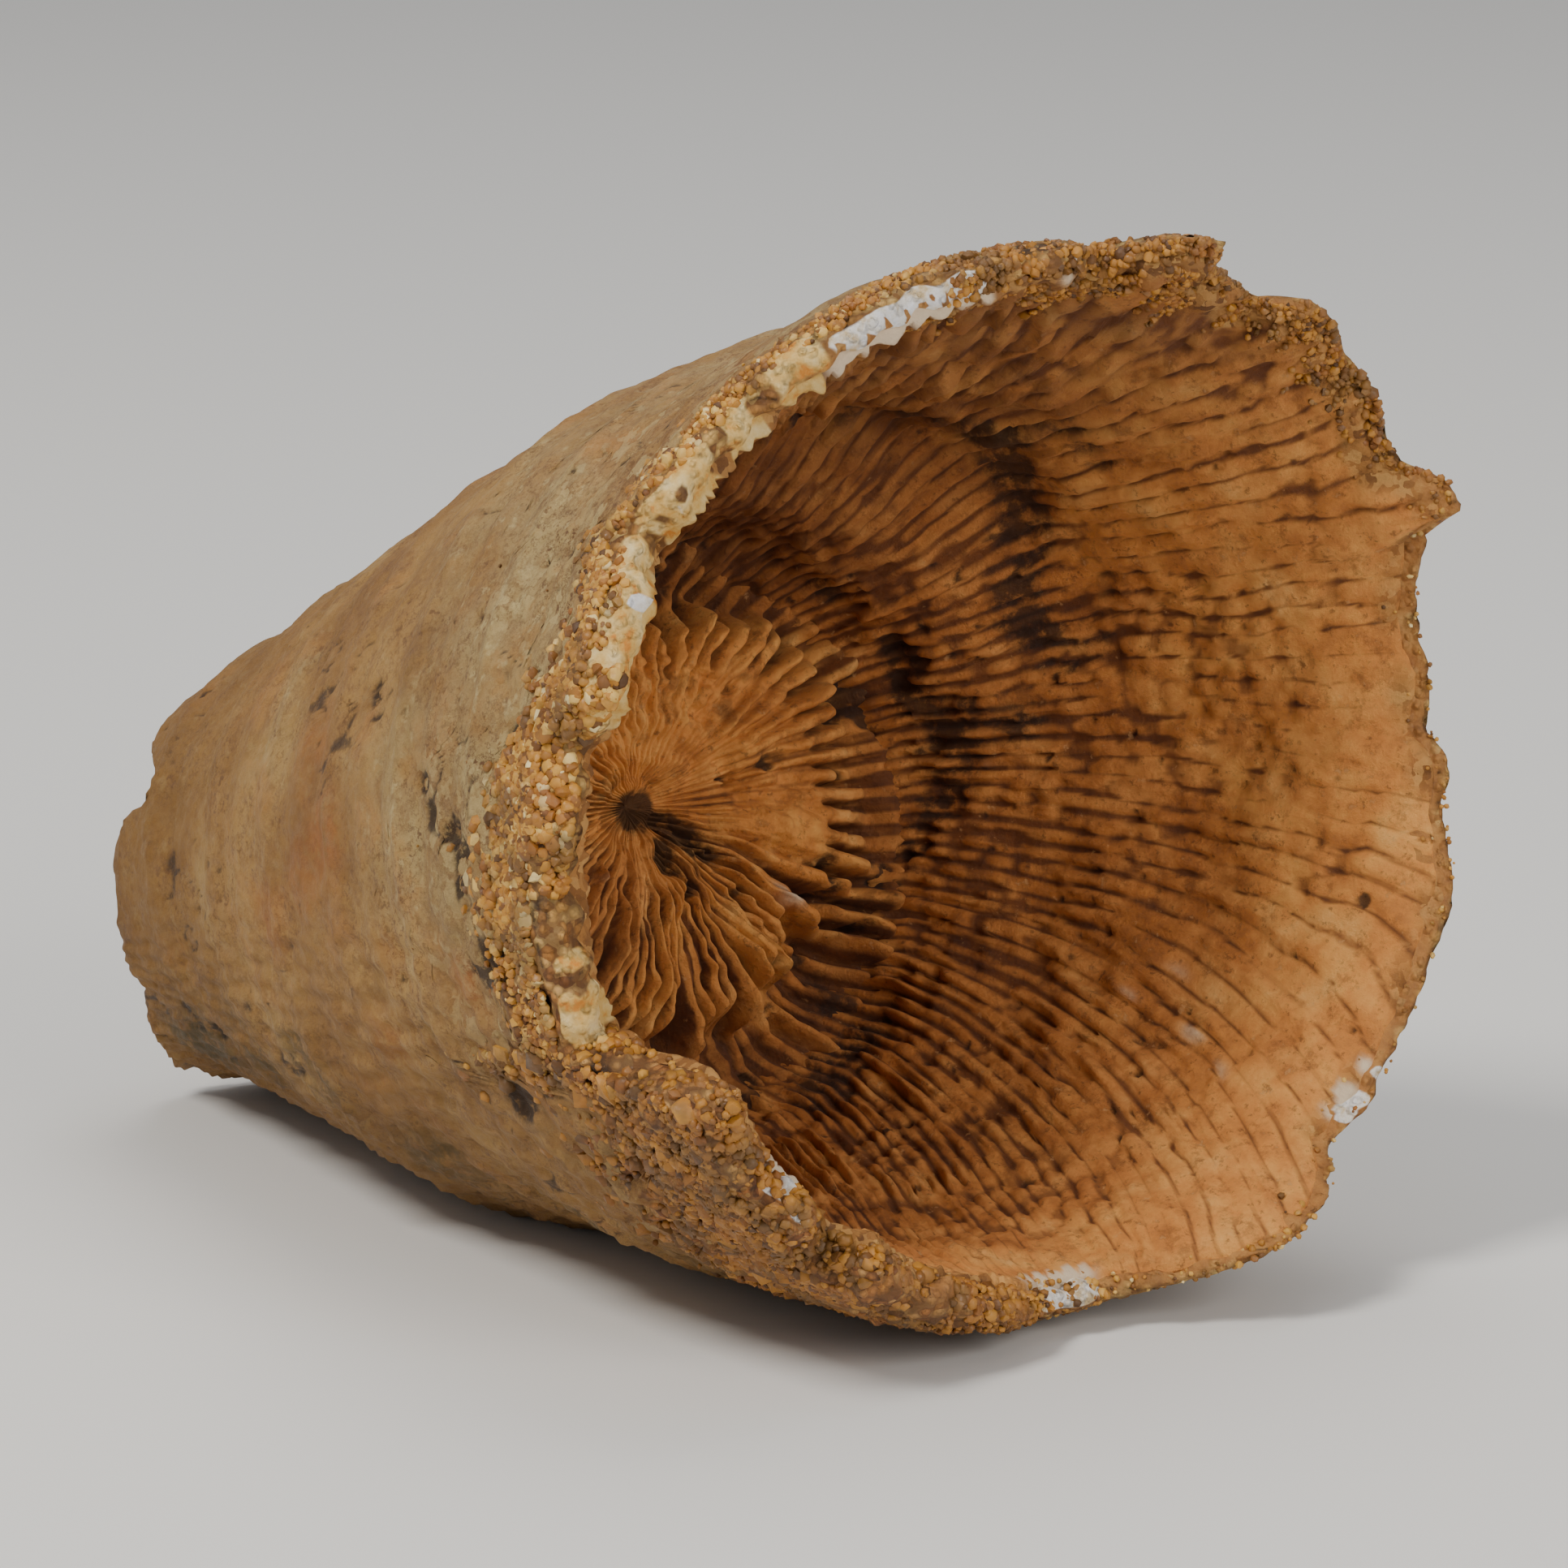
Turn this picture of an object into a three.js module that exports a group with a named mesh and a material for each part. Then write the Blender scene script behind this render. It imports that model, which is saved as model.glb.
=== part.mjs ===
import * as THREE from "three";

// A fossil horn coral lying on its side: a cone of stone with a broken tip and a deep, septate calice.
// Millimetres, +Z up. "Along" is the distance from the tip on the horn's own axis, which rises towards
// the mouth.
// Angles go round that axis in degrees: 0 is the top, 90 the +Y side, 180 the belly that it lies on.

const septa = 68; // long septa round the calice
const sectors = 2 * septa; // a ridge and a groove for each
const wallSectors = septa; // the plain outer wall needs half as many
const axisRise = 14.8; // degrees that the horn's axis rises from tip to mouth
const flatDepth = 0.45; // how deep the belly is worn flat where the fossil lies
const wornSpread = 32; // degrees either side of the belly in which the growth rings are worn away
const calyxFloor = 26.4; // along the axis, the middle of the calice floor
const floorPit = 1.3; // depth of the small pit where the septa meet
const platformRise = 2.3; // height of the septal platform over the trench round it
const trenchAlong = 25.0; // along the axis, the bottom of that trench
const centreLift = 1.4; // how far the septa's meeting point lies above the axis
const bellySide = 180; // angle of the belly
const thinSide = 95; // angle at which the rim is weathered thinnest
const thinFrom = -0.2; // cosine of the turn from there at which the thinning starts
const thinFull = 0.5; // and the cosine at which it is full
const thinShare = 0.7; // how much of its thickness it has lost there
const thinReach = 2.2; // how fast that fades away from the rim

// The outer wall's radius, from the broken tip to the mouth: [along, radius].
const hornOutline = [
  [-2, 6.7],
  [0, 7.4],
  [12, 11.0],
  [24, 14.5],
  [36, 17.4],
  [48, 19.4],
  [60, 20.5],
];

// The wall's thickness along the calice: [along, thickness].
const wallOutline = [
  [20, 4.9],
  [27, 3.9],
  [34, 3.2],
  [41, 2.5],
  [50, 2.0],
  [60, 1.8],
];

// The broken mouth: [angle, along], one pair for each tooth, notch and chip of the rim.
const rimOutline = [
  [0, 52.0],
  [8, 52.8],
  [12, 52.1],
  [14, 53.3],
  [18, 55.3],
  [22, 55.1],
  [25, 53.4],
  [34, 52.3],
  [37, 54.2],
  [42, 54.0],
  [46, 53.0],
  [52, 53.1],
  [57, 52.0],
  [61, 51.9],
  [64.5, 53.6],
  [68, 53.3],
  [70, 51.1],
  [78, 49.5],
  [82, 49.2],
  [85, 49.5],
  [91, 48.7],
  [95, 49.6],
  [101, 49.3],
  [108, 49.7],
  [120, 49.0],
  [134, 48.5],
  [141, 47.6],
  [147, 49.2],
  [154, 49.8],
  [160, 49.2],
  [168, 46.9],
  [172, 45.7],
  [181, 45.3],
  [190, 46.7],
  [198, 47.3],
  [208, 47.4],
  [214, 48.3],
  [218, 46.4],
  [225, 48.2],
  [232, 47.8],
  [238, 48.5],
  [242, 49.3],
  [245, 47.4],
  [247, 44.2],
  [250, 42.4],
  [259, 42.9],
  [270, 43.3],
  [276, 44.5],
  [284, 44.7],
  [289, 47.5],
  [296, 47.7],
  [301, 48.0],
  [306, 46.8],
  [309, 46.3],
  [312, 48.3],
  [320, 48.5],
  [326, 49.0],
  [332, 50.6],
  [340, 51.8],
  [350, 52.3],
];

// The broken tip: [angle, along], an oblique break with a ledge on its upper -Y side and a lobe below.
const tipOutline = [
  [0, 1.6],
  [60, 0.6],
  [120, 0.2],
  [175, -0.6],
  [211, -1.1],
  [228, -0.4],
  [240, 0.4],
  [249, 1.9],
  [255, 1.2],
  [266, 2.1],
  [277, 2.6],
  [291, 2.6],
  [295, 3.6],
  [299, 7.0],
  [305, 6.0],
  [317, 3.7],
  [326, 2.4],
  [335, 1.6],
];

// How far the septal platform reaches from the middle of the floor: [angle, radius].
const platformOutline = [
  [0, 8.0],
  [18, 8.2],
  [32, 9.6],
  [46, 11.0],
  [60, 11.6],
  [90, 11.4],
  [105, 10.2],
  [116, 7.8],
  [140, 7.6],
  [165, 7.8],
  [190, 7.2],
  [215, 7.6],
  [260, 8.0],
  [300, 8.4],
  [340, 7.6],
];

// Swellings and hollows of the outer wall: along, angle, length, spread in degrees, height.
const swellings = [
  [5, 335, 5, 60, 0.45],
  [20, 335, 8, 60, -0.2],
  [43, 345, 7, 60, -0.85],
  [54, 352, 4, 40, -0.4],
  [20.5, 216, 5, 34, 0.45],
  [6, 208, 6, 60, -0.55],
  [-1.5, 222, 2.2, 32, 0.6],
  [28, 207, 5, 50, -0.5],
  [45, 205, 4, 30, 0.25],
  [16, 90, 6, 70, 0.35],
  [33, 120, 6, 60, -0.4],
  [40, 60, 5, 50, 0.35],
];

// Growth rings of the outer wall: [along, height].
const growthRings = [
  [4.2, 0.12],
  [7.6, 0.24],
  [10.8, 0.14],
  [14.2, 0.27],
  [17.2, 0.16],
  [20.6, 0.3],
  [23.8, 0.18],
  [27.2, 0.32],
  [30.2, 0.16],
  [33.6, 0.3],
  [36.6, 0.2],
  [39.6, 0.26],
];
const ringWidth = 0.95; // half the breadth of one growth ring

// Rings inside the calice, left where growth paused: along, angle, length, spread in degrees, depth.
const calyxSteps = [
  [36.6, 33, 2.2, 48, 1.1],
  [31.5, 30, 2.2, 50, -0.7],
  [33.5, 112, 1.8, 30, 0.5],
  [40.5, 95, 2.0, 40, 0.35],
  [38, 200, 2.0, 60, 0.4],
];

// Blocks of broken septa that fill the trench: [angle, spread in degrees, height].
const trenchBlocks = [
  [121, 7, 1.5],
  [146, 8, 1.3],
];

const radians = THREE.MathUtils.degToRad;
const mix = THREE.MathUtils.lerp;

// Shortest way round between two angles, in degrees.
const turnBetween = (a, b) => Math.abs(THREE.MathUtils.euclideanModulo(a - b + 180, 360) - 180);

// 1 at a side, falling to nothing over a spread in degrees.
const nearSide = (angle, side, spread) => Math.exp(-((turnBetween(angle, side) / spread) ** 2));

// Straight interpolation in a list of pairs whose first value rises.
function between(pairs, at) {
  const last = pairs.length - 1;
  if (at <= pairs[0][0]) return pairs[0][1];
  if (at >= pairs[last][0]) return pairs[last][1];
  const i = pairs.findIndex(([start]) => start > at);
  const share = (at - pairs[i - 1][0]) / (pairs[i][0] - pairs[i - 1][0]);
  return mix(pairs[i - 1][1], pairs[i][1], share);
}

// The same for a list of angles that starts at 0 and closes on itself.
function around(pairs, angle) {
  return between([...pairs, [360, pairs[0][1]]], THREE.MathUtils.euclideanModulo(angle, 360));
}

// Sum of smooth bumps listed as along, angle, length, spread, height.
function bumps(list, along, angle) {
  let sum = 0;
  for (const [centre, side, length, spread, height] of list) {
    sum += height * Math.exp(-(((along - centre) / length) ** 2)) * nearSide(angle, side, spread);
  }
  return sum;
}

// A smooth curve through the outline's points gives the plain horn.
const curveSteps = 240;
const outlineCurve = new THREE.SplineCurve(hornOutline.map((pair) => new THREE.Vector2(...pair)));
const outlinePoints = outlineCurve.getPoints(curveSteps).map(({ x, y }) => [x, y]);

function outerRadius(along, angle) {
  const kept = 1 - nearSide(angle, bellySide, wornSpread);
  let radius = between(outlinePoints, along) + bumps(swellings, along, angle);
  for (const [centre, height] of growthRings) {
    radius += kept * height * Math.exp(-(((along - centre) / ringWidth) ** 2));
  }
  return radius;
}

function wallThickness(along, angle) {
  const turned = Math.cos(radians(angle - thinSide));
  const thinned = THREE.MathUtils.clamp((turned - thinFrom) / (thinFull - thinFrom), 0, 1);
  const fade = Math.exp(-Math.max(around(rimOutline, angle) - along, 0) / thinReach);
  return between(wallOutline, along) * (1 - thinShare * thinned * fade);
}

function innerRadius(along, angle) {
  const plain = between(outlinePoints, along) + bumps(swellings, along, angle);
  return plain - wallThickness(along, angle) + bumps(calyxSteps, along, angle);
}

// A repeatable value from -1 to 1 for a septum or a grain.
function uneven(index, seed) {
  const wave = Math.sin(index * 12.9898 + seed * 78.233) * 43758.5453;
  return 2 * (wave - Math.floor(wave)) - 1;
}

// Every second point of a ring in the calice stands on a septum, and the others in the grooves.
const septal = (j, [septum, groove]) => (j % 2 === 0 ? septum : groove);

// A ring of points, each { along, radius, angle }. Its count divides the next ring's, or is divided by it.
function ring(count, place) {
  return Array.from({ length: count }, (_, j) => {
    const angle = (360 * j) / count;
    return { angle, ...place(angle, j) };
  });
}

// The rings in order: from the tip's end over the outer wall and the rim, down to the middle of the floor.
const rings = [];

// Broken tip: an uneven end face in rows of [share of the radius, points], then its edge.
const tipMiddle = 1.8;
const tipRough = 0.2;
const tipRows = [
  [0.35, 17],
  [0.7, 34],
  [0.94, 68],
];
for (const [share, count] of tipRows) {
  rings.push(
    ring(count, (angle, j) => {
      const edge = around(tipOutline, angle);
      const along = mix(tipMiddle, edge, share * share) + tipRough * uneven(j, count);
      return { along, radius: share * outerRadius(edge, angle) };
    }),
  );
}
const tipEdge = 0.4;
const tipEnd = (angle) => around(tipOutline, angle);
rings.push(
  ring(wallSectors, (angle) => {
    const along = tipEnd(angle) + tipEdge;
    return { along, radius: outerRadius(along, angle) };
  }),
);

// Outer wall: a ring on each growth ring's crest and in the hollow after it. They crowd together where the
// tip is broken deeper.
const crowdTop = 12;
const lowestTip = -1.1;
const crowded = (along, angle) => {
  if (along >= crowdTop) return along;
  const kept = (crowdTop - along) / (crowdTop - lowestTip);
  return crowdTop - kept * (crowdTop - tipEnd(angle));
};
for (const [i, [crest]] of growthRings.entries()) {
  const hollow = i + 1 < growthRings.length ? (crest + growthRings[i + 1][0]) / 2 : crest + ringWidth;
  for (const station of [crest, hollow]) {
    rings.push(
      ring(wallSectors, (angle) => {
        const along = crowded(station, angle);
        return { along, radius: outerRadius(along, angle) };
      }),
    );
  }
}

// Outer wall: from the last growth ring to just under the broken rim.
const evenTop = growthRings[growthRings.length - 1][0] + ringWidth;
const rimBevel = 1.3;
for (const share of [0.33, 0.67, 1]) {
  rings.push(
    ring(wallSectors, (angle) => {
      const along = mix(evenTop, around(rimOutline, angle) - rimBevel, share);
      return { along, radius: outerRadius(along, angle) };
    }),
  );
}

// Rim: a bevelled outer edge, a crumbly crest and an inner edge, as [share of the wall's thickness, rise].
const rimRough = 0.22;
const rimCrumble = 0.06;
const rimRows = [
  [0.06, -0.45],
  [0.35, 0.45],
  [0.8, 0.15],
];
for (const [share, rise] of rimRows) {
  rings.push(
    ring(sectors, (angle, j) => {
      const along = around(rimOutline, angle) + rise + rimRough * uneven(j, 3 + share);
      const outside = outerRadius(along, angle);
      const inside = innerRadius(along, angle);
      const crumble = rimCrumble * (outside - inside) * uneven(j, 7 + share);
      return { along, radius: mix(outside, inside, share) + crumble };
    }),
  );
}

// Calice wall: septa stand as ridges, low by the rim and taller down to the foot of the wall.
const calyxRows = [0.04, 0.12, 0.2, 0.28, 0.36, 0.44, 0.53, 0.62, 0.71, 0.8, 0.89, 0.97];
const calyxFoot = 27.2;
const reliefAtRim = 0.12;
const reliefAtFoot = 0.55;
const reliefUneven = 0.35;
for (const share of calyxRows) {
  rings.push(
    ring(sectors, (angle, j) => {
      const along = mix(around(rimOutline, angle), calyxFoot, share);
      const relief = mix(reliefAtRim, reliefAtFoot, share) * (1 + reliefUneven * uneven(j, 11));
      return { along, radius: innerRadius(along, angle) - septal(j, [relief, -relief]) };
    }),
  );
}

// Floor: the trench is filled on one side, where the platform runs up to the wall.
const filledSide = 78;
const filledSpread = 28;
const filledShare = 0.8;
const trenchShare = (angle) => 1 - filledShare * nearSide(angle, filledSide, filledSpread);
const trenchBottom = (angle) => calyxFloor - (calyxFloor - trenchAlong) * trenchShare(angle);
const wallAtFoot = (angle) => innerRadius(calyxFoot, angle);

// Floor: the platform's edge, where each long septum ends in its own place and the grooves stay behind.
const septumEnd = 0.35;
const septumEndUneven = 0.45;
const grooveEnd = -0.9;
const trenchBreadth = 1.6;
const platformEdge = (angle, j) => {
  const end = septal(j, [septumEnd + septumEndUneven * uneven(j, 21), grooveEnd]);
  return Math.min(around(platformOutline, angle) + end, wallAtFoot(angle) - trenchBreadth);
};

// Floor: how far the middle of the platform is raised towards the meeting point of the septa.
const lift = (radius, angle) => centreLift * Math.max(0, 1 - radius / around(platformOutline, angle));

// Floor: heights or depths of [septum, groove] on each ring, from the wall's foot inwards.
const footDrop = 1.2;
const footReach = [0.85, 0.25];
const trenchRelief = [0.3, -0.2];
const trenchWall = 0.5;
const platformFoot = 0.3;
const crestRelief = [0, -1.1];
const crestInset = 0.45;
const platformRelief = [0.25, -0.85];
const platformRing = 0.68;
const innerRelief = [0.25, -0.45];
const innerRing = 0.42;
const platformTop = trenchAlong + platformRise;
rings.push(
  ring(sectors, (angle, j) => {
    const along = calyxFoot - footDrop * trenchShare(angle);
    return { along, radius: wallAtFoot(angle) - septal(j, footReach) };
  }),
  ring(sectors, (angle, j) => {
    let along = trenchBottom(angle) + septal(j, trenchRelief);
    for (const [side, spread, height] of trenchBlocks) {
      along += height * nearSide(angle, side, spread);
    }
    return { along, radius: (wallAtFoot(angle) - trenchWall + platformEdge(angle, j)) / 2 };
  }),
  ring(sectors, (angle, j) => {
    return { along: trenchBottom(angle) + platformFoot, radius: platformEdge(angle, j) };
  }),
  ring(sectors, (angle, j) => {
    return { along: platformTop + septal(j, crestRelief), radius: platformEdge(angle, j) - crestInset };
  }),
  ring(sectors, (angle, j) => {
    const radius = platformRing * around(platformOutline, angle);
    return { along: platformTop + septal(j, platformRelief), radius, lift: lift(radius, angle) };
  }),
  ring(wallSectors, (angle, j) => {
    const radius = innerRing * around(platformOutline, angle);
    return { along: calyxFloor + septal(j, innerRelief), radius, lift: lift(radius, angle) };
  }),
);

// Floor: the pit in the middle, from its lip to its bottom.
const lipRadius = 1.9;
const lipDrop = 0.3;
const lipUneven = 0.15;
const pitRadius = 0.8;
const pitBottom = calyxFloor - floorPit;
rings.push(
  ring(34, (angle, j) => {
    const along = calyxFloor - lipDrop + lipUneven * uneven(j, 31);
    return { along, radius: lipRadius, lift: lift(lipRadius, angle) };
  }),
  ring(17, (angle) => ({ along: pitBottom, radius: pitRadius, lift: lift(pitRadius, angle) })),
);

const poleDrop = 0.2;
const tipPole = { along: tipMiddle, radius: 0, angle: 0 };
const floorPole = { along: pitBottom - poleDrop, radius: 0, angle: 0, lift: centreLift };

// From the horn's own axis to the fossil lying on its side.
const axisDirection = new THREE.Vector3(Math.cos(radians(axisRise)), 0, Math.sin(radians(axisRise)));
const sideDirection = new THREE.Vector3(0, 1, 0);
const topDirection = new THREE.Vector3().crossVectors(axisDirection, sideDirection);

function inSpace({ along, radius, angle, lift: raised = 0 }) {
  return new THREE.Vector3()
    .addScaledVector(axisDirection, along)
    .addScaledVector(sideDirection, radius * Math.sin(radians(angle)))
    .addScaledVector(topDirection, radius * Math.cos(radians(angle)) + raised);
}

// One closed skin over the rings, with a point at each end. Neighbouring rings may differ in count by a
// whole factor.
function skin(allRings, firstPole, lastPole) {
  const points = [];
  const faces = [];
  const triangle = (a, b, c) => {
    if (a !== b && b !== c && c !== a) faces.push(a, b, c);
  };
  const starts = allRings.map((row) => {
    const start = points.length;
    points.push(...row.map(inSpace));
    return start;
  });
  const first = points.push(inSpace(firstPole)) - 1;
  const last = points.push(inSpace(lastPole)) - 1;
  for (let r = 0; r + 1 < allRings.length; r++) {
    const low = allRings[r].length;
    const high = allRings[r + 1].length;
    const steps = Math.max(low, high);
    const lowAt = (k) => starts[r] + (Math.floor((k * low) / steps) % low);
    const highAt = (k) => starts[r + 1] + (Math.floor((k * high) / steps) % high);
    for (let k = 0; k < steps; k++) {
      triangle(lowAt(k), highAt(k), lowAt(k + 1));
      triangle(lowAt(k + 1), highAt(k), highAt(k + 1));
    }
  }
  const firstCount = allRings[0].length;
  for (let k = 0; k < firstCount; k++) {
    faces.push(first, starts[0] + k, starts[0] + ((k + 1) % firstCount));
  }
  const lastStart = starts[allRings.length - 1];
  const lastCount = allRings[allRings.length - 1].length;
  for (let k = 0; k < lastCount; k++) {
    faces.push(last, lastStart + ((k + 1) % lastCount), lastStart + k);
  }
  return { points, faces };
}

const { points, faces } = skin(rings, tipPole, floorPole);

// The fossil is set down with its middle over the origin, and its belly worn flat on the ground.
const bounds = new THREE.Box3().setFromPoints(points);
const middle = bounds.getCenter(new THREE.Vector3());
const setDown = new THREE.Vector3(-middle.x, -middle.y, -bounds.min.z - flatDepth);
for (const point of points) {
  point.add(setDown);
  point.z = Math.max(point.z, 0);
}

const geometry = new THREE.BufferGeometry().setFromPoints(points);
geometry.setIndex(faces);
geometry.computeVertexNormals();

const stone = new THREE.MeshStandardMaterial({ color: 0xa67c48, roughness: 0.85, metalness: 0 });
const coral = new THREE.Mesh(geometry, stone);
coral.name = "horn_coral";

const fossil = new THREE.Group();
fossil.add(coral);

export default fossil;
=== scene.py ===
import math
from types import SimpleNamespace

import bpy
import numpy as np
from mathutils import Matrix, Vector


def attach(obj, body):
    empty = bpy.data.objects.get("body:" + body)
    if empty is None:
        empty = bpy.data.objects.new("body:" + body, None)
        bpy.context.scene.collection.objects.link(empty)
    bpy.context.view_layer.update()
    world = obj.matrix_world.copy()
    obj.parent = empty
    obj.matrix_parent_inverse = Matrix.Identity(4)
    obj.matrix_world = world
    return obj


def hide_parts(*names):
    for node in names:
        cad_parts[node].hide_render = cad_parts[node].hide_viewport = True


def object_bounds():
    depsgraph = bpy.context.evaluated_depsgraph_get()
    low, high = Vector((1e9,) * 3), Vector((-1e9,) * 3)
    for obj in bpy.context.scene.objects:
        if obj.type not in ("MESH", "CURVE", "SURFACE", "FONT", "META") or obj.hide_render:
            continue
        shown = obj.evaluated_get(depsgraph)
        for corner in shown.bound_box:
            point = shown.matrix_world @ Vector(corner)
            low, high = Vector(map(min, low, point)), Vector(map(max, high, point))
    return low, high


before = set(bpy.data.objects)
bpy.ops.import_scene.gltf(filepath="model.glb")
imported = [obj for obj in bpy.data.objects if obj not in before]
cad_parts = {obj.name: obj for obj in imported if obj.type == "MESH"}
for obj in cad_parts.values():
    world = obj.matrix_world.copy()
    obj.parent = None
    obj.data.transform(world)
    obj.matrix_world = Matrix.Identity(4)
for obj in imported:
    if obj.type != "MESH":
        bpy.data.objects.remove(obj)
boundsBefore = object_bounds()

# Lengths are worked out in millimetres on the horn's own axis, then set down in the row frame in metres.
# "along" runs from the broken tip to the mouth, angles go round the axis: 0 top, 90 +Y, 180 belly.
mm = 0.001
horn = {
    "rise": 14.8,  # degrees from the ground to the axis
    "setDown": np.array([-26.271, -0.447, 7.527]),  # where the axis starts
    "septa": 68,
    # the plain cone: along, radius
    "cone": np.array([[-2, 6.7], [0, 7.4], [12, 11.0], [24, 14.5], [36, 17.4], [48, 19.4], [60, 20.5]]),
    # the wall round the calice: along, thickness
    "thickness": np.array([[20, 4.9], [27, 3.9], [34, 3.2], [41, 2.5], [50, 2.0], [60, 1.8]]),
    "thinSide": 95,  # the angle at which the rim is thinnest
    "thinShare": 0.7,  # how much of its thickness it loses there
    "thinReach": 2.2,  # how far below the rim that fades
    # the broken rim: angle, along
    "rim": np.array([
        [0, 52.0], [8, 52.8], [12, 52.1], [14, 53.3], [18, 55.3], [22, 55.1], [25, 53.4], [34, 52.3],
        [37, 54.2], [42, 54.0], [46, 53.0], [52, 53.1], [57, 52.0], [61, 51.9], [64.5, 53.6], [68, 53.3],
        [70, 51.1], [78, 49.5], [82, 49.2], [85, 49.5], [91, 48.7], [95, 49.6], [101, 49.3], [108, 49.7],
        [120, 49.0], [134, 48.5], [141, 47.6], [147, 49.2], [154, 49.8], [160, 49.2], [168, 46.9],
        [172, 45.7], [181, 45.3], [190, 46.7], [198, 47.3], [208, 47.4], [214, 48.3], [218, 46.4],
        [225, 48.2], [232, 47.8], [238, 48.5], [242, 49.3], [245, 47.4], [247, 44.2], [250, 42.4],
        [259, 42.9], [270, 43.3], [276, 44.5], [284, 44.7], [289, 47.5], [296, 47.7], [301, 48.0],
        [306, 46.8], [309, 46.3], [312, 48.3], [320, 48.5], [326, 49.0], [332, 50.6], [340, 51.8],
        [350, 52.3]]),
    # the edge of the broken tip: angle, along
    "tip": np.array([
        [0, 1.6], [60, 0.6], [120, 0.2], [175, -0.6], [211, -1.1], [228, -0.4], [240, 0.4], [249, 1.9],
        [255, 1.2], [266, 2.1], [277, 2.6], [291, 2.6], [295, 3.6], [299, 7.0], [305, 6.0], [317, 3.7],
        [326, 2.4], [335, 1.6]]),
    "tipMiddle": 1.8,
    # rises and hollows of the whole cone: along, angle, length, spread, height
    "swellings": [
        (5, 335, 5, 60, 0.45), (20, 335, 8, 60, -0.2), (43, 345, 7, 60, -0.85), (54, 352, 4, 40, -0.4),
        (20.5, 216, 5, 34, 0.45), (6, 208, 6, 60, -0.55), (-1.5, 222, 2.2, 32, 0.6), (28, 207, 5, 50, -0.5),
        (45, 205, 4, 30, 0.25), (16, 90, 6, 70, 0.35), (33, 120, 6, 60, -0.4), (40, 60, 5, 50, 0.35)],
    # growth rings: along, height
    "rings": [
        (4.2, 0.12), (7.6, 0.24), (10.8, 0.14), (14.2, 0.27), (17.2, 0.16), (20.6, 0.3), (23.8, 0.18),
        (27.2, 0.32), (30.2, 0.16), (33.6, 0.3), (36.6, 0.2), (39.6, 0.26)],
    "ringWidth": 0.95,
    "belly": 180,
    "wornSpread": 32,  # degrees either side of the belly in which the rings are worn away
    # rings inside the calice: along, angle, length, spread, depth
    "steps": [
        (36.6, 33, 2.2, 48, 1.1), (31.5, 30, 2.2, 50, -0.7), (33.5, 112, 1.8, 30, 0.5),
        (40.5, 95, 2.0, 40, 0.35), (38, 200, 2.0, 60, 0.4)],
}
riseTurn = math.radians(horn["rise"])
axisWay = np.array([math.cos(riseTurn), 0.0, math.sin(riseTurn)])
sideWay = np.array([0.0, 1.0, 0.0])
topWay = np.cross(axisWay, sideWay)
dice = np.random.default_rng(41)


def turnBetween(a, b):
    return np.abs((a - b + 180) % 360 - 180)


# a table's value at an angle, closed round the axis
def around(table, angle):
    return np.interp(angle, table[:, 0], table[:, 1], period=360)


def smooth(low, high, value):
    t = np.clip((value - low) / (high - low), 0, 1)
    return t * t * (3 - 2 * t)


def blend(a, b, t):
    return a + (b - a) * t


def clip(value):
    return np.clip(value, 0, 1)


# soft rises, each: along, angle, length, spread, height
def bumps(marks, along, angle):
    total = np.zeros_like(along)
    for centre, side, length, spread, height in marks:
        total += height * np.exp(-((along - centre) / length) ** 2 - (turnBetween(angle, side) / spread) ** 2)
    return total


# a smooth curve through the cone's table
def coneRadius(along):
    knots, radii = horn["cone"].T
    slopes = np.gradient(radii, knots)
    i = np.clip(np.searchsorted(knots, along) - 1, 0, len(knots) - 2)
    step = knots[i + 1] - knots[i]
    t = clip((along - knots[i]) / step)
    return ((2 * t**3 - 3 * t**2 + 1) * radii[i] + (t**3 - 2 * t**2 + t) * step * slopes[i]
            + (3 * t**2 - 2 * t**3) * radii[i + 1] + (t**3 - t**2) * step * slopes[i + 1])


def outerRadius(along, angle):
    worn = 1 - np.exp(-((turnBetween(angle, horn["belly"]) / horn["wornSpread"]) ** 2))
    radius = coneRadius(along) + bumps(horn["swellings"], along, angle)
    for centre, height in horn["rings"]:
        radius += worn * height * np.exp(-(((along - centre) / horn["ringWidth"]) ** 2))
    return radius


def innerRadius(along, angle):
    thinned = clip((np.cos(np.radians(angle - horn["thinSide"])) + 0.2) / 0.7)
    fade = np.exp(-np.maximum(around(horn["rim"], angle) - along, 0) / horn["thinReach"])
    thickness = np.interp(along, *horn["thickness"].T) * (1 - horn["thinShare"] * thinned * fade)
    plain = coneRadius(along) + bumps(horn["swellings"], along, angle)
    return plain - thickness + bumps(horn["steps"], along, angle)


def onAxis(along, radius, angle, lift=0.0):
    turn = np.radians(angle)
    return (along[:, None] * axisWay + (radius * np.sin(turn))[:, None] * sideWay
            + (radius * np.cos(turn) + lift)[:, None] * topWay)


hashes = dice.random(65536)


# a random number for each cell of a lattice; the large primes mix its three whole numbers
def cellHash(i, seed):
    mixed = i[..., 0] * 73856093 ^ i[..., 1] * 19349663 ^ i[..., 2] * 83492791 ^ (seed * 2654435)
    return hashes[(mixed ^ (mixed >> 13)) & (len(hashes) - 1)]


# smooth noise from -1 to 1
def clouds(points, size, seed=0):
    p = points / size
    base = np.floor(p).astype(np.int64)
    f = p - base
    f = f * f * (3 - 2 * f)
    total = np.zeros(len(p))
    for corner in range(8):
        offset = np.array([corner & 1, corner >> 1 & 1, corner >> 2 & 1])
        weight = np.prod(np.where(offset == 1, f, 1 - f), axis=1)
        total += weight * cellHash(base + offset, seed)
    return 2 * total - 1


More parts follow.
